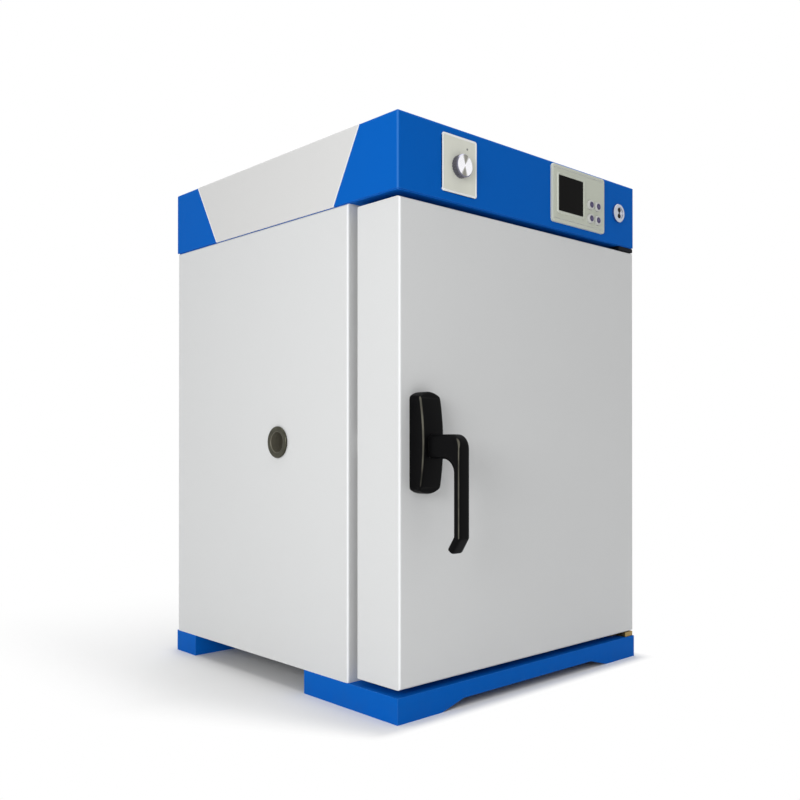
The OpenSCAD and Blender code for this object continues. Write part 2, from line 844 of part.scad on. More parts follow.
module hood_shell() {
    color("royalblue") difference() {
        intersection() {
            difference() {
                hood_form(0);
                hood_form(sheet);
            }
            slab_xy(x_case, [y_hood, y_back], [z_case, z_top]);
        }
        slab_xz(grow(about(bezel_x, bezel_w), -housing_wall + seat_gap), y_cut,
            grow(about(z_controls, bezel_h), -housing_wall / 2 + seat_gap));
        bar_y(dial_x, y_cut, z_knob, knob_hole_r);
        bar_y(key_x, y_cut, z_hood, key_thread_r + seat_gap);
    }
}

// Tray that carries the hood on the casing
module hood_floor() {
    flange_h = 12;
    x = grow(x_case, -sheet);
    color("silver") {
        slab_xy(x, y_tray, tray_z, fold_r);
        for (s = [[x[0], x[0] + sheet], [x[1] - sheet, x[1]]])
            slab_xy(s, [y_tray[0] + fold_r, y_tray[1] - sheet], [tray_z[0], tray_z[1] + flange_h]);
    }
}

module hood_back_panel() {
    slot_l = 40;
    slot_w = 3;
    slot_pitch = 9;
    half_n = 4;
    groups = [-x_side / 5, x_side / 2];
    y = [y_tray[1] - sheet, y_tray[1]];
    color("royalblue") difference() {
        slab_xz(grow(x_case, -sheet), y, [tray_z[1], z_top - sheet], fold_r);
        for (g = groups, i = [-half_n : half_n])
            slab_xz(about(g + i * slot_pitch, slot_w), grow(y, past), about(z_hood, slot_l), slot_w / 2);
        slab_xz(grow(about(inlet_x, inlet_w), seat_gap), grow(y, past),
            grow(about(z_hood, inlet_h), seat_gap));
    }
}

// Pale trapezoid on the side of the hood, as high as the hood
module inlay() {
    top = [inlay_front, case_d - inlay_rear];
    foot = [inlay_front + inlay_front_slope, case_d - inlay_rear - inlay_rear_slope];
    rim = 0.4;
    translate([-x_side, y_hood, 0]) rotate([90, 0, -90]) linear_extrude(inlay_t)
        polygon([[-foot[0], z_case + rim], [-top[0], z_top - fold_r], [-top[1], z_top - fold_r],
            [-foot[1], z_case + rim]]);
}

module side_inlays() {
    color("lightgray") {
        inlay();
        mirror([1, 0, 0]) inlay();
    }
}

// Frame round the display and the buttons, with a groove along its top and bottom
module controller_bezel() {
    corner_r = 4;
    groove = 0.8;
    groove_inset = 4.5;
    y = [y_hood - bezel_d, y_hood];
    color("silver") difference() {
        slab_xz(about(bezel_x, bezel_w), y, about(z_controls, bezel_h), corner_r);
        slab_xz(x_display, grow(y, past), z_display, display_r);
        for (s = [-1, 1])
            slab_xz(about(bezel_x, bezel_w - 2 * groove), [y[0] - past, y[0] + groove],
                about(z_controls + s * (bezel_h / 2 - groove_inset), groove));
        for (p = button_places) bar_y(p[0], grow(y, past), p[1], button_d / 2 + seat_gap);
    }
}

module controller_housing() {
    depth = 80;
    color("dimgray") slab_xz(grow(about(bezel_x, bezel_w), -housing_wall), [y_hood, y_hood + depth],
        grow(about(z_controls, bezel_h), -housing_wall / 2));
}

module display_window() {
    recess = 0.8;
    color("black") slab_xz(grow(x_display, -seat_gap / 2), [y_hood - bezel_d + recess, y_hood],
        grow(z_display, -seat_gap / 2), display_r);
}

// Push button: a disc with a rounded edge
module button(p) {
    edge = 0.6;
    r = button_d / 2;
    length = bezel_d + button_out - button_travel - seat_gap;
    translate([p[0], y_hood - bezel_d - button_out, p[1]]) rotate([-90, 0, 0]) rotate_extrude() union() {
        translate([0, edge]) square([r, length - edge]);
        square([r - edge, edge]);
        translate([r - edge, edge]) circle(edge);
    }
}

module button_upper_left() {
    color("white") button(button_places[0]);
}

module button_upper_right() {
    color("white") button(button_places[1]);
}

module button_lower_left() {
    color("white") button(button_places[2]);
}

module button_lower_right() {
    color("white") button(button_places[3]);
}

module thermostat_plate() {
    y = [y_hood - dial_t, y_hood];
    color("lightgray") difference() {
        slab_xz(about(dial_x, dial_w), y, about(z_hood, dial_h), thermostat_r);
        bar_y(dial_x, grow(y, past), z_knob, knob_hole_r);
    }
}

// Fluted knob with a bevelled face, and the shaft that it turns
module thermostat_knob() {
    flutes = 24;
    flute_r = 0.9;
    bevel = 1;
    r = knob_d / 2;
    y_face = y_hood - dial_t - seat_gap;
    color("silver") {
        translate([dial_x, y_face, z_knob]) rotate([90, 0, 0]) difference() {
            union() {
                cylinder(h = knob_h - bevel, r = r);
                translate([0, 0, knob_h - bevel]) cylinder(h = bevel, r1 = r, r2 = r - bevel);
            }
            for (i = [0 : flutes - 1]) rotate(i * 360 / flutes) translate([r + flute_r / 2, 0, -past])
                cylinder(h = knob_h - 2 * bevel + past, r = flute_r);
        }
        bar_y(dial_x, [y_face, y_hood + knob_shaft_l], z_knob, knob_shaft_r);
    }
}

module thermostat_body() {
    bore_l = 22.5;
    y = [y_hood + sheet, y_hood + sheet + thermostat_l];
    color("dimgray") difference() {
        slab_xz(about(dial_x, thermostat_w), y, about(z_knob, thermostat_w), thermostat_r);
        bar_y(dial_x, [y[0] - past, y[0] + bore_l], z_knob, knob_shaft_r + running_fit);
    }
}

// Chrome ring and threaded barrel housing with its nut
module key_switch_body() {
    bevel = 1;
    nut_t = 4;
    ring_r = key_ring_d / 2;
    nut_r = key_thread_r + nut_t;
    color("silver") difference() {
        union() {
            translate([key_x, y_hood, z_hood]) rotate([90, 0, 0]) {
                cylinder(h = key_ring_t - bevel, r = ring_r);
                translate([0, 0, key_ring_t - bevel]) cylinder(h = bevel, r1 = ring_r, r2 = ring_r - bevel);
            }
            bar_y(key_x, [y_hood, y_hood + key_body_l], z_hood, key_thread_r);
            translate([key_x, y_hood + sheet, z_hood]) rotate([-90, 0, 0])
                cylinder(h = nut_t, r = nut_r, $fn = 6);
        }
        bar_y(key_x, [y_hood - key_ring_t - past, y_hood + key_body_l - key_floor_t], z_hood,
            key_barrel_d / 2 + running_fit);
    }
}

// Barrel with its keyway: two round lobes joined by a slot
module key_switch_barrel() {
    recess = 0.8;
    y = [y_hood - key_ring_t + recess, y_hood + key_body_l - key_floor_t - seat_gap];
    lobe_r = key_barrel_d * 0.17;
    lobe_z = key_barrel_d * 0.23;
    y_key = [y[0] - past, y_hood + key_body_l / 3];
    color("silver") difference() {
        bar_y(key_x, y, z_hood, key_barrel_d / 2);
        for (s = [-1, 1]) bar_y(key_x, y_key, z_hood + s * lobe_z, lobe_r);
        slab_xz(about(key_x, lobe_r), y_key, about(z_hood, 2 * lobe_z));
    }
}

// Relay on a finned heat sink
module power_relay() {
    x = about(relay_x, relay_w);
    y = about(relay_y, relay_l);
    base_t = 5;
    fin_n = 6;
    fin_t = 2;
    fin_pitch = 5;
    body_w = 24;
    body_rim = 12;
    z = [tray_z[1] + base_t, tray_z[1] + 5 * base_t];
    color("silver") {
        slab_xy(x, y, [tray_z[1], z[0]]);
        for (i = [0 : fin_n - 1]) slab_xy([x[0] + i * fin_pitch, x[0] + i * fin_pitch + fin_t], y, z);
        slab_xy([x[1] - fin_t - body_w, x[1] - fin_t], grow(y, -body_rim), z);
    }
}

// Row of screw terminals
module terminal_block() {
    ways = 8;
    way = 10;
    block_h = 18;
    screw_r = 2.5;
    entry_r = 2;
    entry_l = 4;
    x = about(block_x, ways * way);
    y = about(block_y, block_w);
    color("ivory") difference() {
        slab_xy(x, y, [tray_z[1], tray_z[1] + block_h]);
        for (i = [0 : ways - 1]) {
            p = x[0] + (i + 0.5) * way;
            bar_z(p, block_y, [tray_z[1] + block_h / 2, tray_z[1] + block_h + past], screw_r);
            bar_y(p, [y[0] - past, y[0] + entry_l], tray_z[1] + block_h / 3, entry_r);
        }
    }
}

// Mains inlet with a flange outside, a recess and three flat contacts
module mains_inlet() {
    flange_t = 2;
    wall = 1.5;
    depth = 24;
    recess = 16;
    flange_side = 11.5;
    flange_rim = 3;
    flange_r = 5;
    recess_r = 2;
    pin_dx = 7;
    pin_t = 2;
    pin_h = 4;
    y = [y_tray[1] - depth, y_tray[1] + flange_t];
    color("dimgray") {
        difference() {
            union() {
                slab_xz(about(inlet_x, inlet_w), y, about(z_hood, inlet_h));
                slab_xz(grow(about(inlet_x, inlet_w), flange_side), [y_tray[1], y[1]],
                    grow(about(z_hood, inlet_h), flange_rim), flange_r);
            }
            slab_xz(about(inlet_x, inlet_w - 2 * wall), [y[1] - recess, y[1] + past],
                about(z_hood, inlet_h - 2 * wall), recess_r);
        }
        for (p = [[-pin_dx, -pin_h / 2], [0, pin_h / 2], [pin_dx, -pin_h / 2]])
            slab_xz(about(inlet_x + p[0], pin_t), [y[1] - recess, y[1] - pin_t], about(z_hood + p[1], pin_h));
    }
}

// Pan-head screws of the back panel, the motor cover and the hood's back panel
module back_screws() {
    head_r = 4;
    head_t = 2;
    rim = 12;
    end_rim = 20;
    rows = [plinth_h + end_rim, z_axis - case_h / 6, z_axis + case_h / 6, z_case_top - end_rim];
    casing_x = x_side - rim;
    color("silver") {
        for (x = [-casing_x, casing_x], z = rows) bar_y(x, [y_back, y_back + head_t], z, head_r);
        for (x = [-casing_x, -x_side / 5, casing_x], z = [tray_z[1] + rim, z_top - rim])
            bar_y(x, [y_tray[1], y_tray[1] + head_t], z, head_r);
    }
}

// Form of the door, with the edges of its front and back rounded
module door_form(inset) {
    x = grow(x_door, -inset);
    y = grow([y_door, y_door_back], -inset);
    z = grow(z_door, -inset);
    intersection() {
        slab_xy(x, y, z, fold_r - inset);
        slab_yz(x, y, z, fold_r - inset);
    }
}

// Painted pan of the door, open at the back inside its flange
module door_outer_panel() {
    color("whitesmoke") difference() {
        door_form(0);
        door_form(sheet);
        slab_xz(grow(x_door, -door_flange), [y_door_back - past, y_door_back + past],
            grow(z_door, -door_flange));
        for (z = z_door) bar_z(x_pivot, y_pivot, [z - past, z + past], bush_r + running_fit);
        bar_y(x_handle, [y_door - past, y_door + past], z_handle, sleeve_r + running_fit);
    }
}

// Stainless back of the door, pressed out into a plug that enters the chamber's mouth
module door_inner_panel() {
    color("gainsboro") difference() {
        union() {
            slab_xz(inner_x, [y_door_back, y_door_back + liner_t], inner_z, inner_r);
            slab_xz(plug_x, [y_door_back, y_plug], plug_z, plug_r);
        }
        slab_xz(grow(plug_x, -liner_t), [y_door_back - past, y_plug - liner_t], grow(plug_z, -liner_t),
            plug_r - liner_t);
        bar_y(x_handle, [y_door_back - past, y_door_back + past], z_handle, sleeve_r + running_fit);
    }
}

module door_insulation() {
    x = grow(x_door, -sheet - seat_gap);
    y = grow([y_door, y_door_back], -sheet - seat_gap);
    z = grow(z_door, -sheet - seat_gap);
    window = door_flange + seat_gap;
    bush_z = bush_l + seat_gap;
    color("khaki") difference() {
        union() {
            intersection() {
                slab_xy(x, y, z, fold_r);
                slab_yz(x, y, z, fold_r);
            }
            slab_xz(grow(x_door, -window), [y_door + past, y_door_back - seat_gap], grow(z_door, -window));
            slab_xz(grow(plug_x, -liner_t - seat_gap), [y_door + past, y_plug - liner_t - seat_gap],
                grow(plug_z, -liner_t - seat_gap), plug_r);
        }
        for (s = z_door) bar_z(x_pivot, y_pivot, [s - bush_z, s + bush_z], bush_r + seat_gap);
        bar_y(x_handle, [y_door - past, y_door_back + past], z_handle, sleeve_r + seat_gap);
    }
}

// Silicone ring that seals against the front frame
module door_gasket() {
    y = [y_door_back + liner_t, y_case - seat_gap];
    hole_x = grow(x_chamber, gasket_gap);
    hole_z = grow(z_chamber_span, gasket_gap);
    color("darkgray") difference() {
        slab_xz(grow(hole_x, gasket_w), y, grow(hole_z, gasket_w), plug_r + gasket_w);
        slab_xz(hole_x, grow(y, past), hole_z, plug_r);
    }
}

// Plate with its pin and washer, a leg bolted to the front of the casing, and a wing that closes the
// gap at the side, standing on z = 0
module hinge_bracket() {
    gap_top = hinge_t + washer_t;
    x = [x_pivot - hinge_w / 2, x_side - wing_inset];
    bar_z(x_pivot, y_pivot, [0, hinge_t], hinge_w / 2);
    slab_xy(x, [y_pivot, y_case], [0, hinge_t]);
    slab_xy(x, [y_case - hinge_t, y_case], [0, leg_l]);
    slab_xy([x[1] - hinge_t, x[1]], [y_pivot - hinge_w / 2, y_case], [0, wing_h]);
    slab_xy([x_pivot, x[1]], [y_pivot - hinge_w / 2, y_pivot], [0, hinge_t]);
    bar_z(x_pivot, y_pivot, [0, gap_top], bush_r);
    bar_z(x_pivot, y_pivot, [0, door_gap + bush_l - 2 * washer_t], pin_d / 2);
}

module hinge_brackets() {
    color("gold") {
        translate([0, 0, plinth_h]) hinge_bracket();
        translate([0, 0, z_case_top]) mirror([0, 0, 1]) hinge_bracket();
    }
}

// Flanged bush in the door, standing on z = 0 with its flange below by the given reach
module hinge_bush(reach) {
    difference() {
        union() {
            bar_z(x_pivot, y_pivot, [-reach, 0], bush_flange_r);
            bar_z(x_pivot, y_pivot, [-reach, bush_l], bush_r);
        }
        bar_z(x_pivot, y_pivot, [-reach - past, bush_l - washer_t], pin_d / 2 + running_fit);
    }
}

module hinge_bushes() {
    reach = door_gap - hinge_t - washer_t - seat_gap;
    color("darkgoldenrod") {
        translate([0, 0, z_door[0]]) hinge_bush(reach);
        translate([0, 0, z_door[1]]) mirror([0, 0, 1]) hinge_bush(reach - hood_seam);
    }
}

// Front outline of the handle's base plate, with an arc at each end
module plate_outline() {
    end_r = (plate_w * plate_w / 4 + plate_rise * plate_rise) / (2 * plate_rise);
    square([plate_w, plate_h - 2 * plate_rise], center = true);
    for (s = [-1, 1]) intersection() {
        translate([0, s * (plate_h / 2 - end_r)]) circle(end_r, $fn = 96);
        translate([-plate_w / 2, s > 0 ? 0 : -plate_h]) square([plate_w, plate_h]);
    }
}

// Base plate of the handle: its section is turned about a distant axis, so that the front bulges
module handle_escutcheon() {
    edge = 4;
    bulge_r = (plate_h * plate_h / 4 + plate_bulge * plate_bulge) / (2 * plate_bulge);
    sweep = 2.4 * asin(plate_h / 2 / bulge_r);
    color("black") difference() {
        intersection() {
            translate([x_handle, y_door, z_handle]) rotate([90, 0, 0])
                linear_extrude(plate_d + past) plate_outline();
            translate([x_handle, y_door - plate_d + bulge_r, z_handle]) rotate([0, 90, 0])
                rotate(-90 - sweep / 2) rotate_extrude(angle = sweep, $fn = 360)
                    rounded([bulge_r - plate_d - past, bulge_r], about(0, plate_w), edge);
        }
        bar_y(x_handle, [y_door - plate_d - past, y_door + past], z_handle, spindle_d / 2 + seat_gap);
    }
}

// Pairs of outer and inner points, as y and z, along the lever from its root to its tip
function lever_path() = let (
    y0 = y_door - lever_reach, y1 = y0 + lever_t,
    z1 = z_handle - neck_drop + neck_h / 2, z0 = z1 - neck_h,
    r1 = lever_corner_r, r0 = lever_fillet_r,
    knee = z_handle - knee_drop,
    along = [sin(tip_angle), -cos(tip_angle)], across = lever_t * [cos(tip_angle), sin(tip_angle)]
) concat(
    [[[y_root, z1], [y_root, z0]]],
    [for (a = [0 : 10 : 90]) [[y0 + r1 * (1 - sin(a)), z1 - r1 * (1 - cos(a))],
        [y1 + r0 * (1 - sin(a)), z0 - r0 * (1 - cos(a))]]],
    [[[y0, knee + lever_t], [y1, knee + 2 * lever_t]]],
    [[[y0, knee], [y1, knee + lever_t * tan(tip_angle / 2)]]],
    [for (l = [tip_l - tip_round, tip_l]) [[y0, knee] + l * along, [y0, knee] + l * along + across]]);

// One ring of points: a square with round corners between an outer and an inner point
function lever_ring(p, k) = let (c = (p[0] + p[1]) / 2, h = (p[0] - p[1]) / 2 * k, n = 2 / lever_square)
    [for (i = [0 : lever_sides - 1]) let (a = 360 * (i + 0.5) / lever_sides,
        u = sign(cos(a)) * pow(abs(cos(a)), n), v = sign(sin(a)) * pow(abs(sin(a)), n))
        [x_handle + v * k * lever_w / 2, c[0] + u * h[0], c[1] + u * h[1]]];

// Lever lofted through rings that turn from the tall neck into the flat grip
module lever_loft() {
    path = lever_path();
    last = len(path) - 1;
    n = lever_sides;
    rings = [for (i = [0 : last]) lever_ring(path[i], i == last ? 0.8 : 1)];
    sides = [for (i = [0 : last - 1], j = [0 : n - 1]) let (a = i * n + j, b = i * n + (j + 1) % n)
        each [[a, b, b + n], [a, b + n, a + n]]];
    polyhedron(points = [for (r = rings) each r],
        faces = concat([[for (j = [n - 1 : -1 : 0]) j]], sides, [[for (j = [0 : n - 1]) last * n + j]]));
}

module handle_lever() {
    color("black") difference() {
        lever_loft();
        bar_y(x_handle, [y_root - socket_l, y_root + past], z_handle, spindle_d / 2 + running_fit);
    }
}

module handle_spindle() {
    color("silver") bar_y(x_handle, [y_root - socket_l, y_cam[1]], z_handle, spindle_d / 2);
}

// Tube that guides the spindle through the door
module spindle_sleeve() {
    color("silver") difference() {
        bar_y(x_handle, [y_door, y_door_back + liner_t], z_handle, sleeve_r);
        bar_y(x_handle, [y_door - past, y_door_back + past], z_handle, spindle_d / 2 + running_fit);
    }
}

// Cam on the spindle's end, pointing away from the chamber when the door is latched
module latch_cam() {
    hub_t = cam_gap - seat_gap;
    color("silver") difference() {
        union() {
            slab_xz([x_handle - cam_reach, x_handle + cam_w / 2], y_cam, about(z_handle, cam_w),
                cam_w * 0.45);
            bar_y(x_handle, [y_cam[0] - hub_t, y_cam[1]], z_handle, sleeve_r);
        }
        bar_y(x_handle, grow(y_cam, past), z_handle, spindle_d / 2 + running_fit);
    }
}

// Keeper on the casing's flange, beside the tip of the cam
module latch_keeper() {
    pass = 1.2;
    keeper_t = 3;
    keeper_h = 26;
    keeper_r = 1;
    lead = 1;
    x1 = x_handle - cam_reach - pass;
    color("silver") slab_xz([x1 - keeper_t, x1], [y_cam[0] - lead, y_case],
        about(z_handle, keeper_h), keeper_r);
}

front_plinth();
rear_plinth();
side_panel_left();
side_panel_right();
bottom_panel();
back_panel();
front_frame();
chamber_floor();
chamber_roof();
chamber_wall_left();
chamber_wall_right();
chamber_rear_wall();
insulation_jacket();
port_tube();
shelf_rails();
shelf_upper();
shelf_lower();
fan_baffle();
baffle_spacers();
fan_impeller();
fan_shaft();
fan_motor();
heater_coil();
temperature_probe();
limit_probe();
vent_pipe();
vent_damper();
motor_cover();
hood_shell();
hood_floor();
hood_back_panel();
side_inlays();
controller_bezel();
controller_housing();
display_window();
button_upper_left();
button_upper_right();
button_lower_left();
button_lower_right();
thermostat_plate();
thermostat_knob();
thermostat_body();
key_switch_body();
key_switch_barrel();
power_relay();
terminal_block();
mains_inlet();
back_screws();
door_outer_panel();
door_inner_panel();
door_insulation();
door_gasket();
hinge_brackets();
hinge_bushes();
handle_escutcheon();
handle_lever();
handle_spindle();
spindle_sleeve();
latch_cam();
latch_keeper();
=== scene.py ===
import json
import math

import bmesh
import bpy
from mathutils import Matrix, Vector


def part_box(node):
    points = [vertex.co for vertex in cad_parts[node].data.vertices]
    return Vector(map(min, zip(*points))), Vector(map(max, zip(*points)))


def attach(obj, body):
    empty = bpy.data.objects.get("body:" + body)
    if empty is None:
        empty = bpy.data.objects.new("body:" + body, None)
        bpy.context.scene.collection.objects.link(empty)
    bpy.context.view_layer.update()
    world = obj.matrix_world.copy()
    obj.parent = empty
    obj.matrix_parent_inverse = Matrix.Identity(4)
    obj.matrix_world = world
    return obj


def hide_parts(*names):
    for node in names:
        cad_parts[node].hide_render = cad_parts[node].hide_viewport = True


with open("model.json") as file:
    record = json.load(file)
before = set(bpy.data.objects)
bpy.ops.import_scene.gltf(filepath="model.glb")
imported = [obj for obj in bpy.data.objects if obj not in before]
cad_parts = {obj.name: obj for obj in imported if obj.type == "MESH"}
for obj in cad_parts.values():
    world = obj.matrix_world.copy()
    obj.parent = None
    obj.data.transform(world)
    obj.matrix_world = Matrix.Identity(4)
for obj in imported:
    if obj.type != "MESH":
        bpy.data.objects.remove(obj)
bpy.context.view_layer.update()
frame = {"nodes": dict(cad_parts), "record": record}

nodes = frame["nodes"]
print("frame loaded:", len(nodes), "nodes")


# sockets that can be used in sums

class Sock:
    def __init__(self, tree, out):
        self.tree = tree
        self.out = out

    def feed(self, place):
        self.tree.links.new(self.out, place)

    def calc(self, operation, other=None, flip=False):
        kinds = {thing.out.type for thing in (self, other) if isinstance(thing, Sock)}
        if "RGBA" in kinds or (isinstance(other, tuple) and len(other) == 4):
            made = self.tree.nodes.new("ShaderNodeMix")
            made.data_type = "RGBA"
            made.blend_type = operation
            made.inputs[0].default_value = 1
            places, result = made.inputs[6:8], made.outputs[2]
        else:
            vector = "VECTOR" in kinds or isinstance(other, tuple)
            made = self.tree.nodes.new("ShaderNodeVectorMath" if vector else "ShaderNodeMath")
            made.operation = operation
            places, result = made.inputs, made.outputs[0]
        for place, value in zip(places, [other, self] if flip else [self, other]):
            if isinstance(value, Sock):
                value.feed(place)
            elif value is not None:
                wide = place.type in ("VECTOR", "RGBA") and not isinstance(value, tuple)
                place.default_value = (value,) * len(place.default_value) if wide else value
        return Sock(self.tree, result)

    def __add__(self, other):
        return self.calc("ADD", other)

    def __radd__(self, other):
        return self.calc("ADD", other, True)

    def __sub__(self, other):
        return self.calc("SUBTRACT", other)

    def __rsub__(self, other):
        return self.calc("SUBTRACT", other, True)

    def __mul__(self, other):
        return self.calc("MULTIPLY", other)

    def __rmul__(self, other):
        return self.calc("MULTIPLY", other, True)

    def __truediv__(self, other):
        return self.calc("DIVIDE", other)

    def __rtruediv__(self, other):
        return self.calc("DIVIDE", other, True)

    def __pow__(self, other):
        return self.calc("POWER", other)

    def __rpow__(self, other):
        return self.calc("POWER", other, True)

    def clamped(self):
        made = self.calc("ADD", 0)
        made.out.node.use_clamp = True
        return made


class NodeTree:
    def __init__(self, tree):
        self.tree = tree

    def node(self, kind, settings=None, values=None, pick=0):
        made = self.tree.nodes.new(kind)
        for key, value in (settings or {}).items():
            if key == "stops":
                stops = made.color_ramp.elements
                for i, (at, grey) in enumerate(value):
                    stop = stops[i] if i < 2 else stops.new(at)
                    stop.position = at
                    stop.color = (grey, grey, grey, 1)
            else:
                setattr(made, key, value)
        for key, value in (values or {}).items():
            self.put(made.inputs[key], value)
        return Sock(self.tree, made.outputs[pick]) if len(made.outputs) else None

    def put(self, place, value):
        if isinstance(value, Sock):
            value.feed(place)
        else:
            place.default_value = value

    def seenDirectly(self):
        # 1 for what the camera sees, straight or in a reflection, 0 for what only lights the object
        rays = [self.node("ShaderNodeLightPath", pick=ray)
                for ray in ("Is Camera Ray", "Is Glossy Ray", "Is Transmission Ray")]
        return (rays[0] + rays[1] + rays[2]).clamped()


class Finish(NodeTree):
    def __init__(self, name):
        self.material = bpy.data.materials.new(name)
        self.material.use_nodes = True
        super().__init__(self.material.node_tree)
        self.shader = self.tree.nodes["Principled BSDF"]
        self.place = self.node("ShaderNodeTexCoord", pick="Object")

    def feed(self, key, value):
        self.put(self.shader.inputs[key], value)

    def noise(self, scale, detail=3, rough=0.5, vector=None, distort=0.0):
        return self.node("ShaderNodeTexNoise", {}, {
            "Vector": vector or self.place, "Scale": scale, "Detail": detail, "Roughness": rough,
            "Distortion": distort})

    def stretched(self, scale):
        return self.node("ShaderNodeMapping", {}, {"Vector": self.place, "Scale": scale})

    def split(self, axis):
        return self.node("ShaderNodeSeparateXYZ", {}, {"Vector": self.place}, pick=axis)

    def ramp(self, value, stops, interpolation="LINEAR"):
        made = self.node("ShaderNodeValToRGB", {"stops": stops}, {"Fac": value})
        made.out.node.color_ramp.interpolation = interpolation
        return made

    def blend(self, amount, first, second):
        return self.node("ShaderNodeMix", {"data_type": "RGBA"}, {0: amount, 6: first, 7: second}, pick=2)

    def bumps(self, *layers):
        normal = None
        for height, strength, depth in layers:
            values = {"Height": height, "Strength": strength, "Distance": depth}
            if normal is not None:
                values["Normal"] = normal
            normal = self.node("ShaderNodeBump", {}, values)
        self.feed("Normal", normal)

    def dot(self, first, second):
        return self.node("ShaderNodeVectorMath", {"operation": "DOT_PRODUCT"}, {0: first, 1: second},
                         pick="Value")

    def edges(self, radius):
        soft = self.node("ShaderNodeBevel", {"samples": 4}, {"Radius": radius})
        flat = self.node("ShaderNodeNewGeometry", pick="Normal")
        return ((1 - self.dot(soft, flat)) * edgeGain).clamped()

    def facing(self, direction, low, high):
        # strong where the surface looks along a direction of the object, as on one side of a rounded edge
        looks = self.node("ShaderNodeTexCoord", pick="Normal")
        return self.ramp(self.dot(looks, direction), [(low, 0.0), (high, 1.0)])


def shade(r, g, b):
    # written as 0 to 255 the way a colour picker shows it, used as light
    def light(v):
        v = v / 255
        return v / 12.92 if v <= 0.04045 else ((v + 0.055) / 1.055) ** 2.4
    return (light(r), light(g), light(b), 1)


def scaled(colour, k):
    return (colour[0] * k, colour[1] * k, colour[2] * k, 1)


# finishes

# painted highlight on rounded edges that look to the front left: direction, where it starts, where it is full
edgeLight = {"paint": ((-0.70, -0.70, 0.14), 0.90, 0.97), "plastic": ((-0.69, -0.69, 0.22), 0.905, 0.98)}
edgeGain = 6    # how fast the edge wear and painted highlight come in where a surface bends
# what the finishes of one kind share: ranges of the patterns, drift of the roughness, depth of the bumps
coat = {"grime": ((0.42, 0.0), (0.72, 1.0)), "speck": ((0.30, 0.0), (0.70, 1.0)), "cloudRough": 0.10,
        "grimeRough": 0.12, "speckRough": 0.05, "grainDepth": 0.0002, "peelDepth": 0.0006}
brushed = {"smearScale": 3.1, "smearBend": 0.6, "dark": 0.86, "light": 1.08,
           "tint": ((0.35, 0.0), (0.75, 1.0)), "lineRough": 0.18, "smearRough": 0.12, "lineDepth": 0.0002,
           "smearBump": 0.05, "smearDepth": 0.0004}
moulding = {"patch": ((0.30, 0.35), (0.62, 1.0)), "patchScale": 55, "cloudRough": 0.08, "grainDepth": 0.00025,
            "cloudBump": 0.04, "cloudDepth": 0.002}


def powderCoat(name, look):
    f = Finish(name)
    grain = f.noise(look["grain"], 4, 0.55)
    peel = f.noise(look["peel"], 2, 0.5)
    cloud = f.noise(look["cloud"], 3, 0.5)
    dust = f.noise(look["dust"], 5, 0.65)
    low = (1 - f.split(2) / look["dustHeight"]).clamped()
    grime = low * f.ramp(dust, coat["grime"])
    speck = f.ramp(grain, coat["speck"])
    colour, wornAndHighlight = look["colour"], look["wornAndHighlight"]
    base = f.blend(cloud, scaled(colour, 1 - look["drift"]), scaled(colour, 1 + look["drift"]))
    base = f.blend(speck * look["speck"], base, scaled(colour, look["speckTone"]))
    # edges lighter in the pale edge colour: partly edge wear, partly painted highlight
    base = f.blend(f.edges(look["edge"]) * look["wearAndHighlight"], base, wornAndHighlight)
    # painted highlight in the pale edge colour on the rounded edges that look to the front left
    base = f.blend(f.facing(*edgeLight["paint"]) * look["fold"], base, wornAndHighlight)
    base = f.blend(grime * look["grime"], base, look["dirt"])
    rough = look["rough"] + (cloud - 0.5) * coat["cloudRough"] + grime * coat["grimeRough"]
    f.feed("Base Color", base)
    f.feed("Roughness", rough + (speck - 0.5) * coat["speckRough"])
    f.feed("Metallic", 0.0)
    f.feed("Specular IOR Level", look["gloss"])
    f.bumps((grain, look["grainBump"], coat["grainDepth"]), (peel, look["peelBump"], coat["peelDepth"]))
    return f.material


def brushedSteel(name, look):
    f = Finish(name)
    lines = f.noise(1.0, 5, 0.6, f.stretched(look["brush"]))
    cloud = f.noise(look["cloud"], 3, 0.5)
    smear = f.noise(look["cloud"] * brushed["smearScale"], 4, 0.6, distort=brushed["smearBend"])
    tone = f.blend(lines, scaled(look["colour"], brushed["dark"]), scaled(look["colour"], brushed["light"]))
    tone = f.blend(f.ramp(cloud, brushed["tint"]) * look["tint"], tone, look["tintColour"])
    rough = look["rough"] + (lines - 0.5) * brushed["lineRough"] + (smear - 0.5) * brushed["smearRough"]
    f.feed("Base Color", tone)
    f.feed("Metallic", 1.0)
    f.feed("Roughness", rough)
    f.bumps((lines, look["bump"], brushed["lineDepth"]), (smear, brushed["smearBump"], brushed["smearDepth"]))
    return f.material


def moulded(name, look):
    f = Finish(name)
    grain = f.noise(look["grain"], 4, 0.6)
    cloud = f.noise(look["cloud"], 3, 0.5)
    # edge mask for the pale edges: partly edge wear, partly painted highlight
    edgeWearAndHighlight = f.edges(look["edge"])
    colour = look["colour"]
    base = f.blend(cloud, scaled(colour, 1 - look["drift"]), scaled(colour, 1 + look["drift"]))
    base = f.blend(edgeWearAndHighlight * look["wearAndHighlight"], base, look["wornAndHighlight"])
    # painted highlight on the rounded edges that look to the front left, broken into patches
    if look.get("fold"):
        patch = f.ramp(f.noise(moulding["patchScale"], 2, 0.5), moulding["patch"])
        base = f.blend(f.facing(*edgeLight["plastic"]) * patch * look["fold"], base, look["wornAndHighlight"])
    f.feed("Base Color", base)
    uneven = (grain - 0.5) * look["roughDrift"] + (cloud - 0.5) * moulding["cloudRough"]
    f.feed("Roughness", look["rough"] + uneven - edgeWearAndHighlight * look["shine"])
    f.feed("Specular IOR Level", look["gloss"])
    f.bumps((grain, look["bump"], moulding["grainDepth"]),
            (cloud, moulding["cloudBump"], moulding["cloudDepth"]))
    return f.material


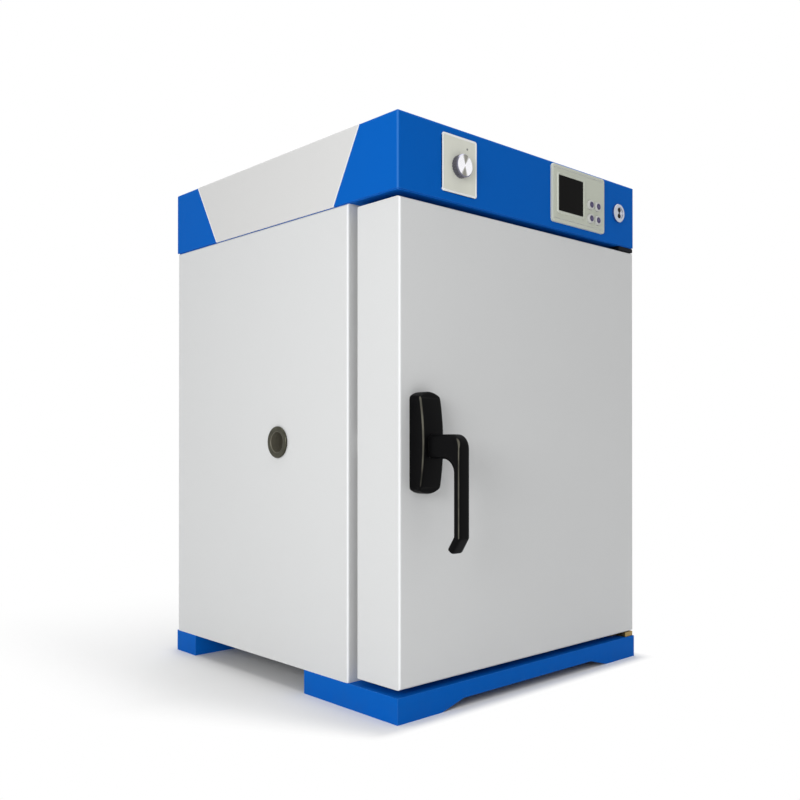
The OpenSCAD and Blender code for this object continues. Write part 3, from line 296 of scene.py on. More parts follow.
def spun(name, look):
    # fine turned rings about an axis along Y through the given point, with two dark wedges painted across the
    # face as a painted reflection
    f = Finish(name)
    dx = f.split(0) - look["x"]
    dz = f.split(2) - look["z"]
    radius = (dx * dx + dz * dz) ** 0.5
    rings = (radius * (2 * math.pi / look["pitch"])).calc("SINE")
    fine = f.noise(look["fine"], 2, 0.5)
    swirl = f.noise(look["swirl"], 3, 0.5)
    off = (dx * math.sin(look["lean"]) + dz * math.cos(look["lean"])).calc("ABSOLUTE")
    lean = off / (radius + look["core"])
    face = f.blend(swirl, scaled(look["colour"], look["dark"]), scaled(look["colour"], look["light"]))
    # painted reflection: two dark wedges across the face, as turned metal shows them
    face = f.blend(f.ramp(lean, look["shadowRange"]), face, look["shadow"])
    flank = f.ramp(radius / look["faceRadius"], look["flankRange"])
    f.feed("Base Color", f.blend(flank, face, look["flank"]))
    f.feed("Metallic", 1.0)
    f.feed("Roughness", look["rough"] + (fine - 0.5) * look["roughDrift"])
    f.bumps((rings * 0.5 + 0.5, look["bump"], look["ringDepth"]), (fine, look["fineBump"], look["fineDepth"]))
    return f.material


def turnedTube(name, look):
    # a tube along X through the given point: dark polished flange, duller and lighter wall inside the bore
    f = Finish(name)
    dy = f.split(1) - look["y"]
    dz = f.split(2) - look["z"]
    radius = (dy * dy + dz * dz) ** 0.5
    turned = f.noise(1.0, 4, 0.6, f.stretched(look["turning"]))
    cloud = f.noise(look["cloud"], 3, 0.5)
    inside = f.ramp(radius / look["edgeRadius"], look["boreRange"])
    face = f.blend(cloud, look["colour"], look["tintColour"])
    f.feed("Base Color", f.blend(inside, face, f.blend(turned, look["bore"], look["boreLight"])))
    f.feed("Metallic", 1 - inside * look["dull"])
    f.feed("Roughness", look["rough"] + inside * look["boreRough"] + (turned - 0.5) * look["roughDrift"])
    f.bumps((turned, look["bump"], look["depth"]), (cloud, look["cloudBump"], look["cloudDepth"]))
    return f.material


def woolly(name, look):
    f = Finish(name)
    tufts = f.noise(look["tufts"], 6, 0.7, distort=look["bend"])
    strands = f.noise(1.0, 4, 0.6, f.stretched(look["strands"]))
    base = f.blend(tufts, scaled(look["colour"], look["dark"]), scaled(look["colour"], look["bright"]))
    pale = f.ramp(strands, look["paleRange"]) * look["paleShare"]
    f.feed("Base Color", f.blend(pale, base, look["pale"]))
    f.feed("Roughness", look["rough"])
    f.bumps((tufts, look["tuftBump"], look["tuftDepth"]), (strands, look["strandBump"], look["strandDepth"]))
    return f.material


# the pale edge colour serves both edge wear and painted highlight; fold sets the painted highlight on the
# edges that look to the front left
blue = {"colour": shade(2, 95, 189), "wornAndHighlight": shade(58, 124, 206), "dirt": shade(70, 90, 120), "grain": 1500,
        "peel": 260, "cloud": 5, "dust": 45, "dustHeight": 0.03, "drift": 0.03, "speck": 0.10,
        "speckTone": 1.35, "edge": 0.0011, "wearAndHighlight": 0.55, "fold": 0.8, "grime": 0.12, "rough": 0.55,
        "gloss": 0.04, "grainBump": 0.22, "peelBump": 0.10}
white = {"colour": shade(221, 222, 222), "wornAndHighlight": shade(247, 248, 250), "dirt": shade(168, 164, 156),
         "grain": 1400, "peel": 240, "cloud": 4, "dust": 38, "dustHeight": 0.07, "drift": 0.012,
         "speck": 0.16, "speckTone": 0.86, "edge": 0.0008, "wearAndHighlight": 0.4, "fold": 1.0, "grime": 0.05,
         "rough": 0.55, "gloss": 0.10, "grainBump": 0.30, "peelBump": 0.10}
steel = {"colour": shade(205, 205, 203), "brush": (6, 900, 60), "cloud": 7, "tint": 0.12,
         "tintColour": shade(188, 180, 160), "rough": 0.33, "bump": 0.16}
# the pale edge colour and its share serve both edge wear and painted highlight on the edges
plastic = {"colour": shade(30, 30, 31), "wornAndHighlight": shade(70, 70, 72), "grain": 1100, "cloud": 12, "drift": 0.08,
           "edge": 0.0005, "wearAndHighlight": 0.3, "rough": 0.5, "roughDrift": 0.12, "shine": 0.08, "gloss": 0.45,
           "bump": 0.25}
ink = {"grain": 900, "cloud": 30, "drift": 0.05, "edge": 0.0003, "wearAndHighlight": 0.1, "rough": 0.45,
       "roughDrift": 0.05, "shine": 0.0, "gloss": 0.4, "bump": 0.05}
wool = {"colour": shade(178, 160, 110), "dark": 0.78, "bright": 1.12, "pale": shade(214, 200, 160),
        "paleRange": ((0.5, 0.0), (0.8, 1.0)), "paleShare": 0.35, "rough": 0.95, "tufts": 90, "bend": 1.2,
        "tuftBump": 0.7, "tuftDepth": 0.003, "strands": (40, 400, 400), "strandBump": 0.4,
        "strandDepth": 0.001}


def middleOf(box):
    return [(low + high) / 2 for low, high in zip(*box)]


def frontOf(box):
    # the middle of a box as seen from the front
    return middleOf(box)[::2]


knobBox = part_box("thermostat_knob")
knobX, knobZ = frontOf(knobBox)
knobEdge = 0.0009    # rounded edge of the knob's face
turnedKnob = {"x": knobX, "z": knobZ, "pitch": 0.0006, "fine": 900, "swirl": 60, "core": 0.0001,
              "colour": shade(246, 246, 250), "dark": 0.93, "light": 1.04, "shadow": shade(142, 141, 133),
              "shadowRange": ((0.86, 0.0), (0.97, 1.0)), "lean": 0.12, "flank": shade(118, 117, 132),
              "flankRange": ((0.97, 0.0), (1.0, 1.0)),
              "faceRadius": (knobBox[1][0] - knobBox[0][0]) / 2 - knobEdge, "rough": 0.24, "roughDrift": 0.10,
              "bump": 0.2, "ringDepth": 0.00008, "fineBump": 0.06, "fineDepth": 0.0001}
portY, portZ = middleOf(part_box("port_tube"))[1:]
turnedPort = {"y": portY, "z": portZ, "edgeRadius": 0.0140, "turning": (500, 30, 30), "cloud": 90,
              "colour": shade(92, 91, 78), "tintColour": shade(46, 45, 38), "bore": shade(84, 80, 68),
              "boreLight": shade(130, 127, 112), "boreRange": ((0.905, 1.0), (0.955, 0.0)), "dull": 0.8,
              "rough": 0.3, "boreRough": 0.2, "roughDrift": 0.1, "bump": 0.06, "depth": 0.0001,
              "cloudBump": 0.05, "cloudDepth": 0.0002}

# one finish for each material slot of the record
finishes = {
    "blue_paint": powderCoat("bluePowderCoat", blue),
    "white_paint": powderCoat("whitePowderCoat", white),
    "stainless": brushedSteel("stainless", steel),
    "galvanised_steel": brushedSteel("galvanised", dict(
        steel, brush=(90, 90, 90), colour=shade(178, 181, 184), rough=0.48)),
    "shelf_wire": brushedSteel("electropolished", dict(steel, rough=0.2, colour=shade(214, 214, 212))),
    "fan_aluminium": brushedSteel("pressedAluminium", dict(
        steel, brush=(200, 200, 200), colour=shade(210, 211, 213))),
    "steel": brushedSteel("groundSteel", dict(
        steel, brush=(300, 40, 300), colour=shade(176, 176, 176), rough=0.28)),
    "heater_sheath": brushedSteel("heaterSheath", dict(
        steel, colour=shade(96, 86, 80), tint=0.6, tintColour=shade(70, 66, 92), rough=0.42)),
    "copper": brushedSteel("copper", dict(steel, colour=shade(196, 128, 92), rough=0.3)),
    "bronze": brushedSteel("bronze", dict(
        steel, brush=(300, 300, 60), colour=shade(170, 132, 80), rough=0.35)),
    "key_chrome": brushedSteel("keyChrome", dict(
        steel, brush=(300, 300, 300), rough=0.22, bump=0.03, colour=shade(186, 189, 200))),
    "zinc_screws": brushedSteel("zincPlate", dict(
        steel, brush=(400, 400, 400), rough=0.3, colour=shade(196, 196, 192))),
    # yellow zinc kept darker than its own colour: painted shade for the tab that sits in the gap's shade
    "zinc_yellow": brushedSteel("yellowZincWithPaintedShade", dict(
        steel, brush=(200, 200, 200), colour=shade(152, 134, 78), tint=0.5, tintColour=shade(160, 122, 92),
        rough=0.42)),
    "knob_aluminium": spun("spunAluminium", turnedKnob),
    "polished_steel": turnedTube("polishedTube", turnedPort),
    "mineral_wool": woolly("mineralWool", wool),
    "black_plastic": moulded("blackPlastic", plastic),
    "motor_paint": moulded("motorEnamel", dict(
        plastic, colour=shade(38, 38, 40), wornAndHighlight=shade(110, 110, 112), grain=900, drift=0.1, roughDrift=0.1,
        shine=0.1, gloss=0.4, bump=0.2)),
    "terminal_plastic": moulded("ivoryPlastic", dict(
        plastic, colour=shade(218, 210, 186), wornAndHighlight=shade(235, 228, 205), grain=900, cloud=14, drift=0.03,
        edge=0.0004, wearAndHighlight=0.2, rough=0.45, roughDrift=0.08, shine=0.05, bump=0.1)),
    "inlay_grey": moulded("inlayFilm", dict(
        plastic, colour=shade(218, 218, 217), wornAndHighlight=shade(250, 251, 253), grain=1800, cloud=6, drift=0.012,
        edge=0.0008, wearAndHighlight=0.9, roughDrift=0.08, shine=0.05, gloss=0.1, bump=0.10)),
    "bezel_grey": moulded("bezelPlastic", dict(
        plastic, colour=shade(203, 207, 193), wornAndHighlight=shade(236, 237, 240), grain=1600, cloud=16, drift=0.02,
        edge=0.0011, wearAndHighlight=0.7, roughDrift=0.1, gloss=0.15, bump=0.14)),
    "display_glass": moulded("displayGlass", dict(
        plastic, colour=shade(10, 9, 8), wornAndHighlight=shade(5, 5, 5), grain=300, cloud=8, drift=0.10, edge=0.003,
        wearAndHighlight=0.9, rough=0.3, roughDrift=0.04, shine=0.0, gloss=0.03, bump=0.01)),
    "button_white": moulded("buttonPlastic", dict(
        plastic, colour=shade(205, 206, 203), wornAndHighlight=shade(228, 228, 230), grain=1500, cloud=30, drift=0.02,
        rough=0.42, roughDrift=0.08, shine=0.05, gloss=0.2, bump=0.08)),
    "dial_plate": moulded("dialPlate", dict(
        plastic, colour=shade(229, 230, 218), wornAndHighlight=shade(252, 253, 253), grain=1500, cloud=20, drift=0.015,
        edge=0.0009, wearAndHighlight=0.8, rough=0.45, roughDrift=0.08, shine=0.1, gloss=0.12, bump=0.10)),
    "silicone": moulded("silicone", dict(
        plastic, colour=shade(150, 150, 147), wornAndHighlight=shade(170, 170, 168), grain=700, cloud=14, drift=0.04,
        edge=0.0004, wearAndHighlight=0.1, rough=0.62, shine=0.0, gloss=0.35, bump=0.2)),
    # fold: painted highlight on the handle's edges that look to the front left
    "handle_black": moulded("handleMoulding", dict(
        plastic, colour=shade(9, 9, 10), wornAndHighlight=shade(112, 110, 99), grain=1300, cloud=20, drift=0.10,
        edge=0.0010, wearAndHighlight=0.10, fold=0.85, rough=0.42, roughDrift=0.10, shine=0.10, gloss=0.045, bump=0.12)),
}
symbolInk = moulded("symbolInk", dict(ink, colour=shade(58, 48, 92), wornAndHighlight=shade(90, 82, 120)))
paleInk = moulded("paleInk", dict(ink, colour=shade(96, 88, 130), wornAndHighlight=shade(120, 112, 150)))
greyInk = moulded("greyInk", dict(ink, colour=shade(128, 130, 128), wornAndHighlight=shade(150, 150, 150)))
# white of the dial's rim, also used for the painted highlight lines on the inlays
rimAndHighlightWhite = moulded("dialRimAndHighlightWhite", dict(
    ink, colour=shade(246, 247, 246), wornAndHighlight=shade(254, 254, 254), drift=0.01, wearAndHighlight=0.3, shine=0.05, gloss=0.2))
# painted shade: the dark lobes of the keyway
keywayPaintedShade = moulded("keywayPaintedShadeFinish", dict(
    ink, colour=shade(40, 33, 26), wornAndHighlight=shade(60, 50, 40), drift=0.1, rough=0.6, gloss=0.1, bump=0.1))
# painted shade: dark finish of the piece that closes the gap above the door
paintedGapShade = moulded("paintedGapShade", dict(
    ink, colour=shade(9, 14, 24), wornAndHighlight=shade(20, 26, 38), drift=0.1, rough=0.6, gloss=0.1, bump=0.2))

slotOf = {row["node"]: row["material_slot"] for row in frame["record"]["subparts"]}
slotOf["hood_floor"] = "blue_paint"    # painted together with the hood
for name, thing in nodes.items():
    slots = thing.data.materials
    if len(slots):
        slots[0] = finishes[slotOf[name]]
    else:
        slots.append(finishes[slotOf[name]])
print("finishes made:", len(finishes))


# mesh helpers

joinWithin = 1e-6


def finishMesh(mesh, creaseAngle, smooth=True, fresh=True):
    work = bmesh.new()
    work.from_mesh(mesh)
    if fresh:
        bmesh.ops.remove_doubles(work, verts=work.verts, dist=joinWithin)
        bmesh.ops.recalc_face_normals(work, faces=work.faces)
    for edge in work.edges:
        edge.smooth = len(edge.link_faces) != 2 or edge.calc_face_angle(0) < math.radians(creaseAngle)
    for face in work.faces:
        face.smooth = smooth
    work.to_mesh(mesh)
    work.free()


def objectFrom(name, points, faces, creaseAngle=35, smooth=True):
    mesh = bpy.data.meshes.new(name)
    mesh.from_pydata([tuple(p) for p in points], [], faces)
    finishMesh(mesh, creaseAngle, smooth)
    made = bpy.data.objects.new(name, mesh)
    bpy.context.scene.collection.objects.link(made)
    return made


def pieceFrom(name, points, faces, finish, body, creaseAngle=35, smooth=True):
    made = objectFrom(name, points, faces, creaseAngle, smooth)
    made.data.materials.append(finish)
    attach(made, body)
    return made


def loopPiece(name, rings, finish, body, creaseAngle):
    # rings of points that close on themselves, like a frame or a gasket
    points = [p for ring in rings for p in ring]
    faces = loftFaces(len(rings), len(rings[0]), loop=True)
    return pieceFrom(name, points, faces, finish, body, creaseAngle)


def loftFaces(rings, count, capEnds=True, loop=False):
    faces = []
    for i in range(rings if loop else rings - 1):
        n = (i + 1) % rings
        for j in range(count):
            k = (j + 1) % count
            faces.append((i * count + j, i * count + k, n * count + k, n * count + j))
    if capEnds and not loop:
        faces.append(tuple(range(count)))
        faces.append(tuple((rings - 1) * count + j for j in range(count)))
    return faces


def quarter(i, steps):
    # how far a rounded edge has come inward and forward, as shares of its radius
    a = math.radians(90 * i / steps)
    return 1 - math.cos(a), math.sin(a)


def roundedOutline(width, height, radius, steps=8):
    points = []
    for cx, cz, start in ((1, 1, 0), (-1, 1, 90), (-1, -1, 180), (1, -1, 270)):
        for i in range(steps + 1):
            a = math.radians(start + 90 * i / steps)
            points.append((cx * (width / 2 - radius) + radius * math.cos(a),
                           cz * (height / 2 - radius) + radius * math.sin(a)))
    return points


def ringOutline(radius, count=48):
    turns = [2 * math.pi * i / count for i in range(count)]
    return [(radius * math.cos(a), radius * math.sin(a)) for a in turns]


def insetOutline(outline, inset):
    made = []
    count = len(outline)
    for i, (x, z) in enumerate(outline):
        ax, az = outline[i - 1]
        bx, bz = outline[(i + 1) % count]
        tx, tz = bx - ax, bz - az
        size = math.hypot(tx, tz) or 1
        made.append((x - inset * tz / size, z + inset * tx / size))
    return made


def placed(centre, outline, y):
    # an outline in the plane of the front, set at a centre and a depth
    return [(centre[0] + x, y, centre[1] + z) for x, z in outline]


def insetRings(box, corner, rows, steps=8):
    # rounded outlines of a box as seen from the front, each with its inset and its depth
    width, height = box[1][0] - box[0][0], box[1][2] - box[0][2]
    rings = []
    for inset, y in rows:
        outline = roundedOutline(width - 2 * inset, height - 2 * inset, corner - inset, steps)
        rings.append(placed(frontOf(box), outline, y))
    return rings


def facingPlate(name, centre, outline, yBack, yFront, edge, finish, body, steps=5):
    # a plate that faces the front: straight sides, then a rounded edge, then the face
    rings = [(0, yBack), (0, yFront + edge)]
    for i in range(1, steps + 1):
        inward, forward = quarter(i, steps)
        rings.append((edge * inward, yFront + edge * (1 - forward)))
    points = [p for inset, y in rings for p in placed(centre, insetOutline(outline, inset), y)]
    return pieceFrom(name, points, loftFaces(len(rings), len(outline)), finish, body)


def flatShape(name, centre, shapes, y0, y1, finish, body):
    # thin print raised by a hair: each shape is a convex outline
    points, faces = [], []
    for outline in shapes:
        start = len(points)
        points += placed(centre, outline, y0) + placed(centre, outline, y1)
        faces += [tuple(start + k for k in face) for face in loftFaces(2, len(outline))]
    return pieceFrom(name, points, faces, finish, body, smooth=False)


def cutter(centre, outline, y0, y1):
    points = placed(centre, outline, y0) + placed(centre, outline, y1)
    return objectFrom("cutter", points, loftFaces(2, len(outline)))


def cutWith(target, tools, creaseAngle=30):
    for tool in tools:
        step = target.modifiers.new("cut", "BOOLEAN")
        step.operation = "DIFFERENCE"
        step.solver = "EXACT"
        step.object = tool
    seen = bpy.context.evaluated_depsgraph_get()
    seen.update()
    result = bpy.data.meshes.new_from_object(target.evaluated_get(seen))
    target.modifiers.clear()
    target.data = result
    for tool in tools:
        bpy.data.objects.remove(tool)
    finishMesh(result, creaseAngle, fresh=False)


# handle lever: one loft through cross sections that each span from the outer to the inner side of the profile

lever = {"thick": 0.0085, "neckHeight": 0.0256, "neckShare": 0.3, "neckSteps": 3, "cornerR": 0.012,
         "filletR": 0.018, "cornerSteps": 24, "neckDrop": 0.0038, "gripSteps": 10, "kneeDrop": 0.0980,
         "kneeR": 0.004, "kneeEase": 0.0002, "kneeSteps": 4, "tipLength": 0.0190, "tipAngle": 33,
         "tipStations": (0.3, 0.6, 0.9, 0.97, 1.0), "tipScales": (0.95, 0.82), "square": 4.2, "sides": 56}


def leverPairs(lo, hi):
    y0, z1, root = lo[1], hi[2], hi[1]
    y1 = y0 + lever["thick"]
    z0 = z1 - lever["neckHeight"]
    corner, fillet = lever["cornerR"], lever["filletR"]
    knee = (z0 + z1) / 2 + lever["neckDrop"] - lever["kneeDrop"]
    bend = math.radians(lever["tipAngle"])
    pairs = []
    for i in range(lever["neckSteps"] + 1):
        t = lever["neckShare"] * i / lever["neckSteps"]
        pairs.append(((root + (y0 + corner - root) * t, z1), (root + (y1 + fillet - root) * t, z0)))
    for i in range(lever["cornerSteps"] + 1):
        down, out = quarter(i, lever["cornerSteps"])
        outer = (y0 + corner * (1 - out), z1 - corner * down)
        pairs.append((outer, (y1 + fillet * (1 - out), z0 - fillet * down)))
    outerTop, innerTop = pairs[-1][0][1], pairs[-1][1][1]
    innerKnee = knee + lever["thick"] * math.tan(bend / 2)
    for i in range(1, lever["gripSteps"]):
        t = i / lever["gripSteps"]
        pairs.append(((y0, outerTop + (knee - outerTop) * t), (y1, innerTop + (innerKnee - innerTop) * t)))
    for i in range(lever["kneeSteps"] + 1):
        t = i / lever["kneeSteps"]
        turned = bend * t
        outer = (y0 + lever["kneeR"] * (1 - math.cos(turned)),
                 knee + lever["kneeR"] * (math.tan(bend / 2) - math.sin(turned)))
        pairs.append((outer, (y1 + lever["kneeEase"] * t, innerKnee + lever["kneeEase"] * (1 - 2 * t))))
    along = Vector((math.sin(bend), -math.cos(bend))) * lever["tipLength"]
    across = Vector((math.cos(bend), math.sin(bend))) * lever["thick"]
    for station in lever["tipStations"]:
        outer = Vector((y0, knee)) + along * station
        pairs.append((tuple(outer), tuple(outer + across)))
    return pairs


def makeLever():
    lo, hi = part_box("handle_lever")
    halfWide = (hi[0] - lo[0]) / 2
    middle = (lo[0] + hi[0]) / 2
    pairs = leverPairs(lo, hi)
    scales = [1.0] * (len(pairs) - len(lever["tipScales"])) + list(lever["tipScales"])
    power = 2 / lever["square"]
    turns = [2 * math.pi * (j + 0.5) / lever["sides"] for j in range(lever["sides"])]
    section = [(math.copysign(abs(math.cos(a)) ** power, math.cos(a)),
                math.copysign(abs(math.sin(a)) ** power, math.sin(a))) for a in turns]
    points = []
    for (outer, inner), k in zip(pairs, scales):
        cy, cz = (outer[0] + inner[0]) / 2, (outer[1] + inner[1]) / 2
        hy, hz = (outer[0] - inner[0]) / 2 * k, (outer[1] - inner[1]) / 2 * k
        points += [(middle + v * k * halfWide, cy + u * hy, cz + u * hz) for u, v in section]
    made = pieceFrom("leverMoulding", points, loftFaces(len(pairs), lever["sides"]), finishes["handle_black"],
                     "handle", creaseAngle=50)
    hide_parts("handle_lever")


# base plate of the handle: an arc at either end, a crown along its length and a rounded edge

basePlate = {"rise": 0.0055, "bulge": 0.006, "edge": 0.0032, "edgeSteps": 6, "cornerLong": 0.0076,
             "cornerDeep": 0.0032, "cornerFrom": 0.004, "rows": 60, "endRows": 8}


def arcRadius(half, rise):
    return (half * half + rise * rise) / (2 * rise)


def makeBasePlate():
    lo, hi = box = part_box("handle_escutcheon")
    half, tall = (hi[0] - lo[0]) / 2, (hi[2] - lo[2]) / 2
    centre = frontOf(box)
    rise, edge, steps = basePlate["rise"], basePlate["edge"], basePlate["edgeSteps"]
    straight = tall - rise
    endR, crownR = arcRadius(half, rise), arcRadius(tall, basePlate["bulge"])

    def halfWidth(z):
        # straight side, then an ellipse that takes off the corner, then the arc at the end
        over = abs(z) - straight
        arc = half if over <= 0 else math.sqrt(max(endR ** 2 - (endR - rise + over) ** 2, 0))
        taken = min(max(over + basePlate["cornerFrom"], 0) / basePlate["cornerLong"], 1)
        return min(arc, half - basePlate["cornerDeep"] * (1 - math.sqrt(1 - taken ** 2)))

    def faceY(z):
        return lo[1] + crownR - math.sqrt(crownR ** 2 - z * z)

    rows = [straight * (2 * i / basePlate["rows"] - 1) for i in range(basePlate["rows"] + 1)]
    ends = [straight + rise * quarter(i, basePlate["endRows"])[1] for i in range(1, basePlate["endRows"] + 1)]
    right = [(halfWidth(z), z) for z in [-z for z in reversed(ends)] + rows + ends]
    outline = right + [(-x, z) for x, z in reversed(right[1:-1])]
    count = len(outline)
    points = placed(centre, outline, hi[1])
    for i in range(steps + 1):
        inward, forward = quarter(i, steps)
        for (x, z), (ox, oz) in zip(insetOutline(outline, edge * inward), outline):
            points.append((centre[0] + x, faceY(oz) + edge * (1 - forward), centre[1] + z))
    faces = loftFaces(steps + 2, count, capEnds=False)
    faces.append(tuple(range(count)))
    top = (steps + 1) * count
    for i in range(len(right) - 1):
        # a strip of the face from the right side to its mirror point on the left
        mirrored = [(count - k) % count for k in (i + 1, i)]
        strip = dict.fromkeys(top + k for k in [i, i + 1] + mirrored)
        if len(strip) > 2:
            faces.append(tuple(strip))
    made = pieceFrom("basePlateMoulding", points, faces, finishes["handle_black"], "door",
                     creaseAngle=50)
    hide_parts("handle_escutcheon")


makeLever()
makeBasePlate()
print("handle made")


# controller: frame with rounded edges and two grooves, raised surround of the display

controller = {"edge": 0.0018, "corner": 0.004, "groove": 0.0008, "grooveInset": 0.0045, "grooveShort": 0.004,
              "grooveRound": 2.1, "surroundRise": 0.0015, "windowGap": 0.0003, "windowCorner": 0.001,
              "buttonGap": 0.0003, "through": 0.002}
# section of the surround: share of its width, the level it is measured from and the distance behind that
surround = {"wide": 0.0032, "cornerGrow": 0.8, "section": (
    (1.0, "frame", 0.0), (0.85, "crest", 0.0001), (0.55, "crest", 0.0), (0.35, "crest", 0.0002),
    (0.0, "glass", 0.0004), (0.0, "glass", 0.0009), (0.5, "frame", 0.0004))}
buttons = {"button_upper_left": "upper_left_button", "button_upper_right": "upper_right_button",
           "button_lower_left": "lower_left_button", "button_lower_right": "lower_right_button"}


def makeController():
    lo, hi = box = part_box("controller_bezel")
    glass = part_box("display_window")
    width, height = hi[0] - lo[0], hi[2] - lo[2]
    centre, window = frontOf(box), frontOf(glass)
    wide, high = (glass[1][i] - glass[0][i] + controller["windowGap"] for i in (0, 2))
    corner, groove = controller["windowCorner"], controller["groove"]
    front = lo[1] + controller["surroundRise"]
    yStart, yEnd = lo[1] - controller["through"], hi[1] + controller["through"]
    frameOutline = roundedOutline(width, height, controller["corner"])
    shell = facingPlate("controllerFrame", centre, frameOutline, hi[1], front, controller["edge"],
                        finishes["bezel_grey"], "cabinet")
    tools = [cutter(window, roundedOutline(wide, high, corner, 3), yStart, yEnd)]
    for side in (-1, 1):
        place = (centre[0], centre[1] + side * (height / 2 - controller["grooveInset"]))
        end = groove / controller["grooveRound"]
        line = roundedOutline(width - controller["grooveShort"], groove, end, 4)
        tools.append(cutter(place, line, yStart, front + groove))
    for name in buttons:
        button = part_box(name)
        r = (button[1][0] - button[0][0]) / 2 + controller["buttonGap"]
        tools.append(cutter(frontOf(button), ringOutline(r, 40), yStart, yEnd))
    cutWith(shell, tools)
    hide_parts("controller_bezel")
    levels = {"frame": front, "crest": lo[1], "glass": glass[0][1]}
    rings = []
    for share, level, behind in surround["section"]:
        out = surround["wide"] * share
        outline = roundedOutline(wide + 2 * out, high + 2 * out, corner + out * surround["cornerGrow"], 6)
        rings.append(placed(window, outline, levels[level] + behind))
    loopPiece("displaySurround", rings, finishes["bezel_grey"], "cabinet", 40)


# button prints: a dark disc with a paler mark, each raised a little over what lies below

prints = {"disc": 0.0039, "discRaise": 0.0002, "markRaise": 0.00008}


def bar(wide, high):
    return [(-wide / 2, -high / 2), (wide / 2, -high / 2), (wide / 2, high / 2), (-wide / 2, high / 2)]


# a plus and three triangles, in shares of the disc's radius
marks = {
    "button_upper_left": [bar(0.9, 0.18), bar(0.18, 0.9)],
    "button_upper_right": [[(-0.5, -0.25), (0.5, -0.25), (0, 0.5)]],
    "button_lower_left": [[(-0.45, 0), (0.3, -0.45), (0.3, 0.45)]],
    "button_lower_right": [[(-0.5, 0.25), (0, -0.5), (0.5, 0.25)]],
}


def makeButtonPrints():
    u = prints["disc"]
    for name, body in buttons.items():
        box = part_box(name)
        place, face = frontOf(box), box[0][1]
        raised = face - prints["discRaise"]
        top = raised - prints["markRaise"]
        flatShape(name + "_disc", place, [ringOutline(u, 40)], face, raised, symbolInk, body)
        shapes = [[(x * u, z * u) for x, z in shape] for shape in marks[name]]
        flatShape(name + "_mark", place, shapes, raised, top, paleInk, body)


makeController()
makeButtonPrints()
print("controller made")


# thermostat: rim of the plate and indicator dot

dial = {"corner": 0.003, "dotR": 0.0012, "dotX": 0.0120, "dotZ": 0.0222, "raise": 0.0002, "sunk": 0.0001}
# section of the rim: inset from the plate's edge, the level it is measured from and the distance behind that
dialRim = ((0.0, "back", 0.0), (0.0, "plate", 0.0002), (0.0003, "plate", -0.00028),
           (0.0009, "plate", -0.0004), (0.00168, "plate", -0.0004), (0.0024, "plate", -0.0001),
           (0.0024, "back", 0.0))


def makeDial():
    lo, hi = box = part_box("thermostat_plate")
    levels = {"back": hi[1], "plate": lo[1]}
    rows = [(inset, levels[level] + behind) for inset, level, behind in dialRim]
    rings = insetRings(box, dial["corner"], rows)
    loopPiece("dialRim", rings, rimAndHighlightWhite, "cabinet", 50)
    flatShape("dialDot", (knobX + dial["dotX"], knobZ + dial["dotZ"]), [ringOutline(dial["dotR"], 20)],
              lo[1] + dial["sunk"], lo[1] - dial["raise"], greyInk, "cabinet")


# key switch: painted shade of the keyway, two dark lobes raised a hair over the barrel's face, as shares of
# the barrel's width

keyway = {"raise": 0.0001, "sunk": 0.0001, "halfWide": 0.22, "halfHigh": 0.19, "pitch": 0.255}


def makeKeyway():
    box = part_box("key_switch_barrel")
    wide, face = box[1][0] - box[0][0], box[0][1]
    shapes = [[(x * keyway["halfWide"] * wide, (z * keyway["halfHigh"] + side * keyway["pitch"]) * wide)
               for x, z in ringOutline(1.0, 32)] for side in (-1, 1)]
    flatShape("keywayShade", frontOf(box), shapes, face + keyway["sunk"], face - keyway["raise"], keywayPaintedShade,
              "key_barrel")


# ends of the door's gap, in front of the hinge brackets: a dark piece above that paints the gap's shade, a
# yellow tab below

hingeEnds = {
    "hingeGapShade": {"wide": 0.0335, "high": 0.0056, "side": 0.0006, "corner": 0.0011, "finish": paintedGapShade,
                  "slot": "black_plastic"},
    "hingeTab": {"wide": 0.0170, "high": 0.0064, "side": 0.0012, "corner": 0.0008,
                 "finish": finishes["zinc_yellow"], "slot": "zinc_yellow"},
}
hingeFront = {"inset": 0.0014, "edge": 0.0008}


def makeHingeEnds():
    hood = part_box("hood_shell")
    seats = {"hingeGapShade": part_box("hood_floor")[0][2], "hingeTab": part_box("front_plinth")[1][2]}
    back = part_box("hinge_brackets")[0][1]
    front = hood[0][1] + hingeFront["inset"]
    for name, end in hingeEnds.items():
        away = -1 if name == "hingeGapShade" else 1
        centre = (hood[1][0] - end["side"] - end["wide"] / 2, seats[name] + away * end["high"] / 2)
        facingPlate(name, centre, roundedOutline(end["wide"], end["high"], end["corner"]), back, front,
                    hingeFront["edge"], end["finish"], "cabinet")


# inlays on the hood's sides: film that follows the fold to the top, with a painted highlight as a white line
# at its slanted edges

film = {"thick": 0.0005, "foldR": 0.003, "foldAngle": 58, "foldSteps": 8, "frontSlope": 0.0446,
        "rearSlope": 0.0467, "foot": 0.0004, "under": 0.0016, "sunk": 0.0001, "line": 0.0016}


